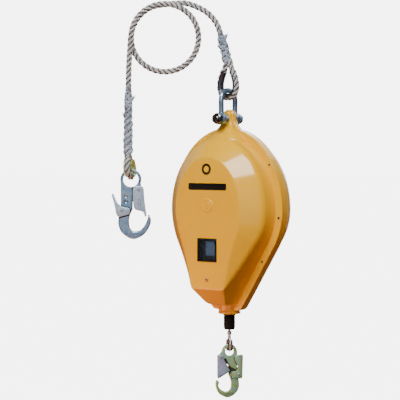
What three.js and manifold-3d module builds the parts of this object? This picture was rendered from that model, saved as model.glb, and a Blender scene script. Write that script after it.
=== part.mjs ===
// A self-retracting lifeline for fall protection, hanging from a three-strand rope lanyard.
// Millimetres, +Z up. The origin is the inside top of the rope loop, where a bar carries it.
// The front of the housing faces -Y. The rope and both hooks hang in a plane turned about Z.
import * as THREE from 'three';
import { mergeVertices } from 'three/addons/utils/BufferGeometryUtils.js';
import Module from 'manifold-3d';

const wasm = await Module();
wasm.setup();

// ---------------------------------------------------------------- driving dimensions
const GAP = 0.3; // between pieces that rest against each other

// Rope lanyard
const ROPE_RADIUS = 6;
const LOOP_RADIUS = 65.5; // at the middle of the rope
const LOOP_PITCH = 13.5; // depth between the two passes over the top
const ROPE_TURN = 38; // degrees, the rope's plane against the housing's front
const SPLICE_GAP = 1.2; // the rope leaves the splice at a slight angle
const CROTCH_GAP = 2.6; // and the splice stands on the eye at a larger one
const THIMBLE_WALL = 1.7;
const ROPE_SIDES = 8;

// Places in the rope's plane: [across, depth, height] from the origin
const PIN_PLACE = [125.8, 0, -216.5]; // middle of the shackle bolt
const UPPER_SPLICE_END = [107.5, -1, -50];
const UPPER_CROTCH = 106.3; // height of the upper eye's crotch over the shackle bolt
const LOWER_SPLICE_START = [-70.4, -8, -150];
const LOWER_CROTCH = [-71.6, -8, -286.6];
const LOWER_EYE_BOTTOM = [-66, -8, -329.6];
const LOWER_EYE_RADIUS = 16;
const UPPER_EYE_RADIUS = 20;
const LOWER_EYE_TURN = 75; // degrees, the lower eye's plane against the rope's plane

// Shackle
const BOW_ROD = 5.2; // radius
const BOW_HALF = 22; // half the distance between the legs
const BOW_TOP = 54.5; // middle of the rod over the bolt
const BOW_CORNER = 17;
const NUT_ACROSS = 19; // across the flats of the bolt's head and nut
const SHACKLE_SHIFT = -4.5; // forward of the housing's mid-plane
const BOLT_RADIUS = 6;
const SHACKLE_EYE = 11.5; // outer radius of the eyes on the bolt
const WASHER = 2; // thickness

// Housing, heights measured down from the shackle bolt
const FLANGE_HALF = 132; // half width at the widest
const FLANGE_RISE = 157; // from the widest up to the top
const WIDEST = -175;
const FLANGE_DEPTH = 10.5; // each shell's half of the flange
const LOWER_ARC = 136.5; // radius that turns the side into the straight taper
const TAPER = 32; // degrees from upright
const FLANGE_CORNER = [33, -372];
const TAPER_END = [55.3, -337]; // last station before the bottom corner
const WALL_INSET = 15; // flange edge to the side wall
const CREASE_INSET = 19; // flange edge to the shoulder
const CREASE_DEPTH = 41;
const FACE_DEPTH = 72;
const FACE_INSET = 36.5; // shoulder to the flat face, where the shoulder is lowest
const FACE_BOTTOM = -327;
const WALL = 3;
const LUG_HALF_DEPTH = 11.5;
const LUG_BORE = 8.6;
const NECK_RADIUS = 21.8;
const NECK_BOTTOM = -380;
const NECK_BORE = 12.5;

// Inside
const SHAFT_HEIGHT = -166;
const SHAFT_RADIUS = 7;
const DRUM_RADIUS = 92;
const DRUM_CORE = 50;
const WIRE_RADIUS = 2.5;
const WOUND_RADIUS = 84;
const DRUM_HALF = 15; // half the drum's width over its flanges
const DRUM_SHEET = 2.2;
const RATCHET_TEETH = 12;
const RATCHET_RADIUS = 44; // inside, at the tooth tips
const RATCHET_PHASE = 0.16; // sets a gap in front of each swung pawl

// Line end, heights from the shackle bolt
const BUMPER_TOP = -385;
const BUMPER_BOTTOM = -411;
const FERRULE_BOTTOM = -421;
const WIRE_EYE_BOTTOM = -452.1; // middle of the wire
const EYE_SLEW = 11; // degrees that the wire eye lies off square to the hook's ring
const WIRE_LINING = 1.3; // wall of the thimble in the wire eye

// Hooks, at the size of the large one
const PIN_RADIUS = 2.2;
const CHEEK_WALL = 1.6;
const RING_PLAY = 2.4; // between the large hook's ring and the thimble it hangs on
const SMALL_RING_PLAY = 1.8;

// Colour, roughness and metalness of each material
const FINISHES = {
  shell: ['#e08a20', 0.35, 0.0],
  zinc: ['#b9c4cc', 0.35, 0.9],
  chromate: ['#b4b878', 0.4, 0.8],
  steel: ['#8f9498', 0.4, 0.9],
  dark_steel: ['#3c3f42', 0.45, 0.8],
  rope: ['#d9dcdf', 0.9, 0.0],
  black_plastic: ['#141414', 0.4, 0.0],
  rubber: ['#0c0c0c', 0.8, 0.0],
  clear: ['#cfd8dc', 0.1, 0.0],
  bronze: ['#b08d4c', 0.4, 0.8],
  lining: ['#4a3b30', 0.9, 0.0],
};

const radians = THREE.MathUtils.degToRad;

// ---------------------------------------------------------------- solids
// A closed indexed geometry with only positions, its faces turned outward.
function closed(geometry) {
  const bare = geometry.index ? geometry.toNonIndexed() : geometry.clone();
  bare.deleteAttribute('normal');
  bare.deleteAttribute('uv');
  const merged = mergeVertices(bare, 1e-3);
  const position = merged.attributes.position;
  const kept = [];
  const [a, b, c] = [new THREE.Vector3(), new THREE.Vector3(), new THREE.Vector3()];
  let volume = 0;
  for (let i = 0; i < merged.index.count; i += 3) {
    const corner = [0, 1, 2].map((k) => merged.index.getX(i + k));
    if (new Set(corner).size < 3) continue;
    a.fromBufferAttribute(position, corner[0]);
    b.fromBufferAttribute(position, corner[1]);
    c.fromBufferAttribute(position, corner[2]);
    volume += a.dot(b.cross(c));
    kept.push(...corner);
  }
  if (volume < 0) kept.reverse();
  merged.setIndex(kept);
  return merged;
}

function toManifold(geometry) {
  const shape = closed(geometry);
  return new wasm.Manifold(new wasm.Mesh({
    numProp: 3,
    vertProperties: new Float32Array(shape.attributes.position.array),
    triVerts: new Uint32Array(shape.index.array),
  }));
}

function fromManifold(manifold) {
  const mesh = manifold.getMesh();
  const geometry = new THREE.BufferGeometry();
  geometry.setAttribute('position', new THREE.BufferAttribute(mesh.vertProperties, 3));
  geometry.setIndex(new THREE.BufferAttribute(mesh.triVerts, 1));
  return geometry;
}

function join(...geometries) {
  return fromManifold(geometries.map(toManifold).reduce((sum, next) => sum.add(next)));
}

function cut(geometry, ...tools) {
  return fromManifold(tools.map(toManifold).reduce((rest, next) => rest.subtract(next),
    toManifold(geometry)));
}

function common(first, second) {
  return fromManifold(toManifold(first).intersect(toManifold(second)));
}

// ---------------------------------------------------------------- basic shapes
// An outline in X and Z, given depth from y0 to y1.
function plate(shape, y0, y1, curveSegments = 8) {
  const geometry = new THREE.ExtrudeGeometry(shape, {
    depth: y1 - y0, bevelEnabled: false, curveSegments });
  return geometry.rotateX(Math.PI / 2).translate(0, y1, 0);
}

// A round solid about Y, from [radius, y] points that start and end on the axis or close.
function turned(profile, sides = 32) {
  return new THREE.LatheGeometry(profile.map(([r, y]) => new THREE.Vector2(r, y)), sides);
}

function ring(inner, outer, y0, y1, sides = 32) {
  return turned([[inner, y0], [outer, y0], [outer, y1], [inner, y1], [inner, y0]], sides);
}

function rod(radius, y0, y1, sides = 24) {
  return turned([[0, y0], [radius, y0], [radius, y1], [0, y1]], sides);
}

// The same shapes about Z, from [radius, height] points.
function upright(profile, sides = 24) {
  return turned(profile, sides).rotateX(Math.PI / 2);
}

function uprightRod(radius, z0, z1, sides = 24) {
  return rod(radius, z0, z1, sides).rotateX(Math.PI / 2);
}

function circle(radius, sides = 12) {
  const shape = new THREE.Shape();
  for (let i = 0; i < sides; i++) {
    const angle = 2 * Math.PI * i / sides;
    const point = [radius * Math.cos(angle), radius * Math.sin(angle)];
    if (i === 0) shape.moveTo(...point);
    else shape.lineTo(...point);
  }
  return shape;
}

function smoothPath(points) {
  return new THREE.CatmullRomCurve3(points.map((p) => new THREE.Vector3(...p)), false,
    'centripetal');
}

function tube(points, radius, steps, sides = 10) {
  return new THREE.ExtrudeGeometry(circle(radius, sides), { steps,
    extrudePath: smoothPath(points), bevelEnabled: false });
}

// A channel that lines the inside of an eye, up to a height where it ends flat.
function eyeLining(route, inner, wall, steps, sides, top) {
  const middle = smoothPath(route).getSpacedPoints(2 * steps).filter((p) => p.z < top);
  const inside = plate(outline(middle.map((p) => [p.x, p.z])), -20, 20);
  return cut(common(tube(route, inner + wall, steps, sides), inside),
    tube(route, inner, steps, sides));
}

function outline(points) {
  return new THREE.Shape(points.map(([x, z]) => new THREE.Vector2(x, z)));
}

function hexagon(acrossFlats, y0, y1) {
  return turned([[0, y0], [acrossFlats / Math.sqrt(3), y0], [acrossFlats / Math.sqrt(3), y1],
    [0, y1]], 6);
}

function at(geometry, x, y, z) {
  return geometry.translate(x, y, z);
}

// ---------------------------------------------------------------- scene graph
const model = new THREE.Group();

const ropePlane = new THREE.Group(); // across = local X, depth = local Y
ropePlane.rotation.z = radians(ROPE_TURN);
model.add(ropePlane);

const pinGroup = new THREE.Group(); // origin on the shackle bolt, square to the housing
pinGroup.position.set(...PIN_PLACE).applyAxisAngle(new THREE.Vector3(0, 0, 1), radians(ROPE_TURN));
model.add(pinGroup);

const shackleGroup = new THREE.Group(); // the shackle rests against the rear of the lug
shackleGroup.position.y = SHACKLE_SHIFT;
pinGroup.add(shackleGroup);

function add(name, geometry, finish, parent, place = [0, 0, 0]) {
  const [color, roughness, metalness] = FINISHES[finish];
  const material = new THREE.MeshStandardMaterial({ color, roughness, metalness });
  const mesh = new THREE.Mesh(closed(geometry), material);
  mesh.name = name;
  mesh.position.set(...place);
  parent.add(mesh);
  return mesh;
}

// ---------------------------------------------------------------- rope lanyard
// The route from the upper splice, once round the loop and down to the lower splice.
function ropeRoute() {
  const route = [
    UPPER_SPLICE_END, [104.2, 0, -39.5], [97.5, 1.5, -26.5], [81.5, 4, -9.5], [61.5, 6, 1.6],
    [41, 7, 8.2], [20, 7.3, 7.9],
  ];
  const centre = ROPE_RADIUS - LOOP_RADIUS;
  for (let angle = 90; angle <= 540; angle += 22.5) {
    const a = radians(angle);
    const depth = LOOP_PITCH * (0.5 - (angle - 90) / 360);
    route.push([LOOP_RADIUS * Math.cos(a), depth, centre + LOOP_RADIUS * Math.sin(a)]);
  }
  route.push([-67.8, -9.8, -88], [-69.6, -9, -118], LOWER_SPLICE_START);
  return route;
}

// A splice as one tapered round solid between two places.
function splice(from, to, profile) {
  const start = new THREE.Vector3(...from);
  const axis = new THREE.Vector3(...to).sub(start);
  const length = axis.length() - CROTCH_GAP - SPLICE_GAP;
  const points = [[0, 0], ...profile.map(([r, t]) => [r, t * length]), [0, length]];
  const turn = new THREE.Quaternion().setFromUnitVectors(new THREE.Vector3(0, 1, 0),
    axis.clone().normalize());
  const place = start.addScaledVector(axis.normalize(), CROTCH_GAP);
  return turned(points, 14).applyQuaternion(turn).translate(place.x, place.y, place.z);
}

// The middle of the rope round an eye in X and Z, from one side of the crotch to the other.
function eyeRoute(radius, height) {
  const right = [[0.5, 0.134], [0.866, 0.5], [1, 1]].map(([x, z]) => [x * radius, 0, z * radius]);
  const reach = height - radius;
  right.push([0.94 * radius, 0, radius + 0.3 * reach]);
  right.push([0.62 * radius + 1, 0, radius + 0.62 * reach]);
  right.push([ROPE_RADIUS + 1.2, 0, height - 7], [ROPE_RADIUS + 0.4, 0, height - 0.5]);
  const left = right.map(([x, y, z]) => [-x, y, z]).reverse();
  return [...left, [0, 0, 0], ...right];
}

function addEye(prefix, radius, height, parent) {
  const rope = tube(eyeRoute(radius, height), ROPE_RADIUS, 20, ROPE_SIDES);
  add(`${prefix}_eye_rope`, rope, 'rope', parent);
  add(`${prefix}_thimble`, eyeLining(eyeRoute(radius, height), ROPE_RADIUS + GAP, THIMBLE_WALL,
    20, ROPE_SIDES, 0.72 * height), 'zinc', parent);
}

function addLanyard() {
  add('hanging_rope', tube(ropeRoute(), ROPE_RADIUS, 46, ROPE_SIDES), 'rope', ropePlane);
  const turn = radians(ROPE_TURN);
  const crotch = [PIN_PLACE[0] + SHACKLE_SHIFT * Math.sin(turn), SHACKLE_SHIFT * Math.cos(turn),
    PIN_PLACE[2] + UPPER_CROTCH];
  add('upper_splice', splice(crotch, UPPER_SPLICE_END,
    [[9.5, 0], [11, 0.2], [10.5, 0.55], [6.5, 1]]), 'rope', ropePlane);
  add('lower_splice', splice(LOWER_CROTCH, LOWER_SPLICE_START,
    [[9, 0], [9.6, 0.15], [9.2, 0.45], [8.2, 0.75], [6.5, 1]]), 'rope', ropePlane);

  const upperEye = new THREE.Group();
  upperEye.position.z = BOW_TOP - BOW_ROD - 2 * GAP - THIMBLE_WALL - ROPE_RADIUS;
  shackleGroup.add(upperEye);
  addEye('upper', UPPER_EYE_RADIUS, UPPER_CROTCH - upperEye.position.z, upperEye);

  // The lower eye leans, and its plane stands almost across the hook's plane.
  const lean = new THREE.Group();
  const [dx, , dz] = LOWER_CROTCH.map((value, i) => value - LOWER_EYE_BOTTOM[i]);
  lean.position.set(...LOWER_EYE_BOTTOM);
  lean.rotation.y = Math.atan2(dx, dz);
  ropePlane.add(lean);
  const lowerEye = new THREE.Group();
  lowerEye.rotation.z = radians(LOWER_EYE_TURN);
  lean.add(lowerEye);
  addEye('lower', LOWER_EYE_RADIUS, Math.hypot(dx, dz), lowerEye);
}

// ---------------------------------------------------------------- shackle
function addShackle() {
  const legTop = BOW_TOP - BOW_CORNER;
  const corner = BOW_HALF - BOW_CORNER;
  const half = [];
  for (let i = 0; i <= 3; i++) {
    const a = radians(30 * i);
    half.push([0, corner + BOW_CORNER * Math.cos(a), legTop + BOW_CORNER * Math.sin(a)]);
  }
  const path = [[0, BOW_HALF, 4], [0, BOW_HALF, legTop / 2], ...half,
    ...half.map(([x, y, z]) => [x, -y, z]).reverse(), [0, -BOW_HALF, legTop / 2],
    [0, -BOW_HALF, 4]];
  const eyes = [-1, 1].map((side) => rod(SHACKLE_EYE, side * BOW_HALF - BOW_ROD,
    side * BOW_HALF + BOW_ROD));
  const bore = rod(BOLT_RADIUS + GAP, -40, 40);
  add('shackle_bow', cut(join(tube(path, BOW_ROD, 22, 10), ...eyes), bore), 'zinc',
    shackleGroup);

  const outside = BOW_HALF + BOW_ROD + GAP;
  const head = hexagon(NUT_ACROSS, outside + WASHER, outside + WASHER + 7);
  add('shackle_bolt', join(rod(BOLT_RADIUS, -outside - WASHER - 13, outside + 3), head),
    'dark_steel', shackleGroup);
  add('shackle_washer_front', ring(BOLT_RADIUS + GAP, 11.5, -outside - WASHER + GAP, -outside),
    'zinc', shackleGroup);
  add('shackle_washer_rear', ring(BOLT_RADIUS + GAP, 11.5, outside, outside + WASHER - GAP),
    'zinc', shackleGroup);
  const nut = cut(hexagon(NUT_ACROSS, -outside - WASHER - 10, -outside - WASHER),
    rod(BOLT_RADIUS + GAP, -60, 0));
  add('shackle_nut', nut, 'dark_steel', shackleGroup);
}

// ---------------------------------------------------------------- housing shells
// Each shell rises from the flange by a side wall to a shoulder, and from there by a slope to a
// flat face. `drop` runs from 0 at the widest height to 1 at the bottom of the face.
const FRONT_FORM = {
  creaseInset: CREASE_INSET,
  creaseDepth: (drop) => CREASE_DEPTH + (FACE_DEPTH - CREASE_DEPTH - 1) * drop * drop,
  slope: (drop) => Math.max(FACE_INSET * (1 - drop * drop), 1.5),
  bottom: {
    flange: { half: FLANGE_CORNER[0], z: FLANGE_CORNER[1] },
    wall: { half: 25, z: -362 },
    crease: { half: 22, z: -360, depth: 42 },
    face: { half: 37, z: FACE_BOTTOM },
  },
};
const REAR_FORM = {
  creaseInset: 15.5,
  creaseDepth: (drop) => 46 - 12 * drop,
  slope: (drop) => 40 - 15 * drop,
  bottom: {
    flange: { half: FLANGE_CORNER[0], z: FLANGE_CORNER[1] },
    wall: { half: 25, z: -362 },
    crease: { half: 22, z: -360, depth: 33 },
    face: { half: 16, z: -334 },
  },
};

// Stations round one half of the housing, from the top to the bottom corner, each with its
// place on the flange edge and the outward direction there.
function stations() {
  const list = [];
  const push = (x, z, nx, nz) => {
    const drop = (z + CREASE_INSET / 2 - WIDEST + 5) / (FACE_BOTTOM - WIDEST + 5);
    list.push({ flange: [x, z], normal: [nx, nz], drop: THREE.MathUtils.clamp(drop, 0, 1) });
  };
  const arcSteps = 11;
  for (let i = 0; i < arcSteps; i++) {
    const a = radians(90 - 90 * i / arcSteps);
    const normal = new THREE.Vector2(Math.cos(a) / FLANGE_HALF, Math.sin(a) / FLANGE_RISE);
    normal.normalize();
    push(FLANGE_HALF * Math.cos(a), WIDEST + FLANGE_RISE * Math.sin(a), normal.x, normal.y);
  }
  for (let i = 0; i <= 4; i++) {
    const a = radians(TAPER * i / 4);
    push(FLANGE_HALF - LOWER_ARC * (1 - Math.cos(a)), WIDEST - LOWER_ARC * Math.sin(a),
      Math.cos(a), -Math.sin(a));
  }
  const last = list[list.length - 1];
  for (let i = 1; i <= 4; i++) {
    push(THREE.MathUtils.lerp(last.flange[0], TAPER_END[0], i / 4),
      THREE.MathUtils.lerp(last.flange[1], TAPER_END[1], i / 4), ...last.normal);
  }
  return list;
}

// Closed outline of one level of a shell: the right half from `places`, mirrored to the left.
function level(places) {
  const left = places.map(([x, y, z]) => [-x, y, z]).reverse();
  const whole = [...places, ...left];
  return whole.filter((p, i) => {
    const previous = whole[(i + whole.length - 1) % whole.length];
    return Math.hypot(p[0] - previous[0], p[2] - previous[2]) > 1e-6;
  });
}

// The levels of a front-facing shell from the flange to the face. `skin` moves every level
// inward, for the hollow, which has no flange.
function shellSolid(form, skin, openAt) {
  const all = stations();
  const row = (inset, y, bottom) => level([
    ...all.map((s) => {
      const depth = inset(s);
      return [s.flange[0] - s.normal[0] * depth, y(s), s.flange[1] - s.normal[1] * depth];
    }),
    ...[1, 0.5].map((share) => [(bottom.half - skin * 0.6) * share,
      y({ drop: null }), bottom.z + skin]),
  ]);
  const { wall, flange, crease, face } = form.bottom;
  const edge = skin > 0 ? WALL_INSET + skin : 0;
  const levels = [row(() => edge, () => openAt, skin > 0 ? wall : flange),
    row(() => edge, () => -FLANGE_DEPTH, skin > 0 ? wall : flange)];
  if (skin === 0) levels.push(row(() => WALL_INSET, () => -FLANGE_DEPTH, wall));
  levels.push(row(() => form.creaseInset + skin,
    ({ drop }) => skin - (drop === null ? crease.depth : form.creaseDepth(drop)), crease));
  levels.push(row(({ drop }) => form.creaseInset + form.slope(drop) + skin,
    () => skin - FACE_DEPTH, face));
  return loft(levels);
}

// Skin between closed levels of equal count, with a fan over each end.
function loft(levels) {
  const count = levels[0].length;
  const points = levels.flat();
  const faces = [];
  levels.slice(1).forEach((_, k) => {
    for (let i = 0; i < count; i++) {
      const [a, b] = [k * count + i, k * count + (i + 1) % count];
      faces.push(a, b, a + count, b, b + count, a + count);
    }
  });
  [0, levels.length - 1].forEach((k) => {
    const y = levels[k][0][1];
    const middle = points.push([0, y, WIDEST - 10]) - 1;
    for (let i = 0; i < count; i++) {
      const [a, b] = [k * count + i, k * count + (i + 1) % count];
      if (k === 0) faces.push(b, a, middle);
      else faces.push(a, b, middle);
    }
  });
  const geometry = new THREE.BufferGeometry();
  geometry.setAttribute('position', new THREE.Float32BufferAttribute(points.flat(), 3));
  geometry.setIndex(faces);
  return geometry;
}

// Half of the hanging lug: a bell that flares into the top of the housing.
function lugSolid(y0, y1) {
  const shape = new THREE.Shape();
  shape.moveTo(14, -34);
  shape.lineTo(36, -26);
  shape.bezierCurveTo(24, -20, 14, -14, 12, 4);
  shape.bezierCurveTo(11.5, 14, 6, 18, 0, 18);
  shape.bezierCurveTo(-6, 18, -11.5, 14, -12, 4);
  shape.bezierCurveTo(-14, -14, -24, -20, -36, -26);
  shape.lineTo(-14, -34);
  return plate(shape, y0, y1, 7);
}

const FACE_SCREW_HEIGHT = -308.5;
const WINDOW = { z: -252, halfWidth: 23.5, halfHeight: 22.5 };
const INDICATOR = { x: 2, half: 11, low: -11, high: 16 };
const FLANGE_SCREWS = [[102.1, -88.5], [124.2, -189.2], [86.2, -274.3]]; // right half
const SCREW_RADIUS = 2.4;

// One shell, made as the front one. The rear one is its mirror image without the window.
function shell(isFront) {
  const form = isFront ? FRONT_FORM : REAR_FORM;
  const seam = -GAP / 2;
  const neck = uprightRod(NECK_RADIUS, NECK_BOTTOM, -352, 28);
  const frontHalf = plate(outline([[-30, -350], [30, -350], [30, -390], [-30, -390]]), -40, seam);
  const cutters = [
    shellSolid(form, WALL, 1),
    rod(LUG_BORE, -30, 30),
    uprightRod(NECK_BORE, -390, -355),
  ];
  const boss = at(rod(16, -FACE_DEPTH + 1, -54, 28), 0, 0, SHAFT_HEIGHT);
  const bore = at(rod(SHAFT_RADIUS + GAP, -FACE_DEPTH + 4, -50, 24), 0, 0, SHAFT_HEIGHT);
  let body = join(shellSolid(form, 0, seam), lugSolid(-LUG_HALF_DEPTH, seam),
    common(neck, frontHalf));
  body = cut(body, ...cutters);
  body = cut(join(body, boss), bore, ...screwHoles());
  if (!isFront) return body.scale(1, -1, 1);
  const { z, halfWidth, halfHeight } = WINDOW;
  const opening = plate(outline([[-halfWidth, z - halfHeight], [halfWidth, z - halfHeight],
    [halfWidth, z + halfHeight], [-halfWidth, z + halfHeight]]), -80, -60);
  const screwHole = at(rod(2.6, -80, -60, 12), 0, 0, FACE_SCREW_HEIGHT);
  return cut(body, opening, screwHole);
}

function flangeScrewPlaces() {
  return FLANGE_SCREWS.flatMap(([x, z]) => [[x, z], [-x, z]]);
}

function screwHoles() {
  return flangeScrewPlaces().map(([x, z]) => at(rod(SCREW_RADIUS + GAP, -20, 20, 10), x, 0, z));
}

function addHousing() {
  add('front_shell', shell(true), 'shell', pinGroup);
  add('rear_shell', shell(false), 'shell', pinGroup);
  add('lug_sleeve', ring(BOLT_RADIUS + GAP, LUG_BORE - GAP, -LUG_HALF_DEPTH, LUG_HALF_DEPTH, 24),
    'steel', pinGroup);
  flangeScrewPlaces().forEach(([x, z], i) => {
    const head = FLANGE_DEPTH + GAP;
    const screw = turned([[0, -head - 0.8], [1.9, -head - 0.8], [SCREW_RADIUS, -head],
      [SCREW_RADIUS, head], [4.6, head], [4.6, head + 3], [0, head + 3]], 10);
    add(`flange_screw_${i + 1}`, at(screw, x, 0, z), 'steel', pinGroup);
  });
  addWindow();
  const faceScrew = turned([[0, -FACE_DEPTH - 2.6], [3.2, -FACE_DEPTH - 2.2],
    [4, -FACE_DEPTH - GAP], [2.2, -FACE_DEPTH - GAP], [2.2, -60], [0, -60]], 14);
  add('face_screw', at(faceScrew, 0, 0, FACE_SCREW_HEIGHT), 'steel', pinGroup);
  const cap = turned([[0, -FACE_DEPTH - 1.6], [11.5, -FACE_DEPTH - 1.6],
    [13.6, -FACE_DEPTH - GAP], [0, -FACE_DEPTH - GAP]], 32);
  add('shaft_cap', at(cap, 0, 0, SHAFT_HEIGHT), 'shell', pinGroup);
  const bushFoot = NECK_BOTTOM - 3.5;
  const bushHead = NECK_BOTTOM + 14;
  const bush = upright([[3.4, bushFoot], [NECK_BORE - GAP, bushFoot], [NECK_BORE - GAP, bushHead],
    [3.4, bushHead], [3.4, bushFoot]]);
  add('nozzle_bush', bush, 'black_plastic', pinGroup);
}

// A frame set in the front face, a clear pane, and the plate that shows the line's state.
function addWindow() {
  const { z, halfWidth, halfHeight } = WINDOW;
  const box = (w, h) => [[-w, z - h], [w, z - h], [w, z + h], [-w, z + h]];
  const [w, h] = [halfWidth - GAP, halfHeight - GAP];
  const bead = 1.6; // width of the frame
  const frame = cut(plate(outline(box(w, h)), -FACE_DEPTH - 0.8, -FACE_DEPTH + WALL),
    plate(outline(box(w - bead, h - bead)), -80, -60));
  add('window_frame', frame, 'black_plastic', pinGroup);
  add('window_pane', plate(outline(box(w - bead - GAP, h - bead - GAP)), -FACE_DEPTH + 0.6,
    -FACE_DEPTH + 2), 'clear', pinGroup);
  const tray = cut(plate(outline(box(halfWidth + 3, halfHeight + 2)), -FACE_DEPTH + WALL + GAP,
    -50), plate(outline(box(halfWidth + 1.5, halfHeight + 0.5)), -80, -52));
  add('window_tray', tray, 'black_plastic', pinGroup);
  const { x, half, low, high } = INDICATOR;
  add('indicator_plate', plate(outline([[x - half, z + low], [x + half, z + low],
    [x + half, z + high], [x - half, z + high]]), -FACE_DEPTH + 8, -FACE_DEPTH + 9.5),
  'zinc', pinGroup);
}

// ---------------------------------------------------------------- drum, brake and spring
function addInside() {
  const shaftGroup = new THREE.Group();
  shaftGroup.position.z = SHAFT_HEIGHT;
  pinGroup.add(shaftGroup);
  const shaftEnd = FACE_DEPTH - 5;
  add('main_shaft', rod(SHAFT_RADIUS, -shaftEnd, shaftEnd), 'steel', shaftGroup);

  const bushOuter = 10;
  add('drum_bush', ring(SHAFT_RADIUS + GAP, bushOuter, -DRUM_HALF, DRUM_HALF, 24), 'bronze',
    shaftGroup);
  const inner = DRUM_HALF - DRUM_SHEET;
  const bore = bushOuter + GAP;
  const drum = turned([[bore, -DRUM_HALF], [DRUM_RADIUS, -DRUM_HALF], [DRUM_RADIUS, -inner],
    [DRUM_CORE, -inner], [DRUM_CORE, inner], [DRUM_RADIUS, inner], [DRUM_RADIUS, DRUM_HALF],
    [bore, DRUM_HALF], [bore, -DRUM_HALF]], 28);
  add('drum', drum, 'steel', shaftGroup);
  add('wound_wire', ring(DRUM_CORE + 3 * GAP, WOUND_RADIUS, -inner + GAP, inner - GAP, 28), 'zinc',
    shaftGroup);

  addBrake(shaftGroup);
  addSpring(shaftGroup);
  addRunningWire();
}

// Pawls on the drum's front, in a toothed ring clamped between linings to the housing.
function addBrake(parent) {
  const front = -DRUM_HALF - GAP;
  const depth = 7;
  const teeth = new THREE.Shape();
  const root = RATCHET_RADIUS + 5;
  for (let i = 0; i < RATCHET_TEETH; i++) {
    const a = 2 * Math.PI * i / RATCHET_TEETH + RATCHET_PHASE;
    const next = a + 2 * Math.PI / RATCHET_TEETH;
    const tip = [RATCHET_RADIUS * Math.cos(a), RATCHET_RADIUS * Math.sin(a)];
    if (i === 0) teeth.moveTo(...tip);
    else teeth.lineTo(...tip);
    teeth.lineTo(root * Math.cos(a + 0.03), root * Math.sin(a + 0.03));
    teeth.lineTo(root * Math.cos(next - 0.2), root * Math.sin(next - 0.2));
  }
  const blank = rod(58, front - depth, front - 1, 28);
  add('ratchet_ring', cut(blank, plate(teeth, front - depth - 1, front)), 'steel', parent);
  add('brake_lining', ring(34, 57, front - depth - 2.5, front - depth - GAP, 24), 'lining',
    parent);
  const plateFront = front - depth - 2.8;
  add('brake_plate', ring(SHAFT_RADIUS + GAP, 58, plateFront - 3, plateFront, 24), 'steel',
    parent);
  add('shaft_nut', cut(hexagon(24, plateFront - 11, plateFront - 3 - GAP),
    rod(SHAFT_RADIUS + GAP, -60, 0)), 'dark_steel', parent);

  ['pawl_a', 'pawl_b'].forEach((name, i) => {
    const pawl = new THREE.Shape();
    pawl.moveTo(-5, -6);
    pawl.lineTo(5, -6);
    pawl.quadraticCurveTo(8, 2, 5, 12);
    pawl.lineTo(-1, 20);
    pawl.quadraticCurveTo(-6, 8, -5, -6);
    const body = cut(plate(pawl, front - depth + 0.5, front - 1, 5),
      rod(2.5 + GAP, -60, 0, 14));
    const pin = rod(2.5, front - depth + 0.5, front, 14);
    const turn = i * Math.PI;
    const [x, z] = [30 * Math.cos(turn), 30 * Math.sin(turn)];
    body.rotateY(-turn);
    add(name, at(body, x, 0, z), 'dark_steel', parent);
    add(`${name}_pin`, at(pin, x, 0, z), 'steel', parent);
  });
}

// The flat spiral spring behind the drum, in a cover fixed to the drum.
function addSpring(parent) {
  const rear = DRUM_HALF + GAP;
  const cover = turned([[78, rear], [80, rear], [80, rear + 18], [14, rear + 18],
    [14, rear + 16], [78, rear + 16], [78, rear]], 28);
  add('spring_cover', cover, 'steel', parent);
  const turns = 5;
  const [startRadius, endRadius, thickness] = [24, 74, 1.6];
  const edge = (offset) => {
    const points = [];
    const steps = 16 * turns;
    for (let i = 0; i <= steps; i++) {
      const angle = 2 * Math.PI * turns * i / steps;
      const r = THREE.MathUtils.lerp(startRadius, endRadius, i / steps) + offset;
      points.push([r * Math.cos(angle), r * Math.sin(angle)]);
    }
    return points;
  };
  const spiral = outline([...edge(0), ...edge(thickness).reverse()]);
  add('power_spring', plate(spiral, rear + 1, rear + 15), 'dark_steel', parent);
  add('spring_hub', ring(SHAFT_RADIUS + GAP, 13, rear, rear + 22, 24), 'steel', parent);
}

// The wire from the drum's rim down to the nozzle.
function addRunningWire() {
  const reach = WOUND_RADIUS + WIRE_RADIUS + GAP;
  const bottom = -361;
  const lean = Math.asin(reach / (SHAFT_HEIGHT - bottom));
  const top = [reach * Math.cos(lean), 0, SHAFT_HEIGHT - reach * Math.sin(lean)];
  const between = (t) => [top[0] * (1 - t), 0, top[2] + (bottom - 3 - top[2]) * t];
  add('running_wire', tube([between(0), between(0.5), between(0.93)], WIRE_RADIUS, 6, 8), 'zinc',
    pinGroup);
}

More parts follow.
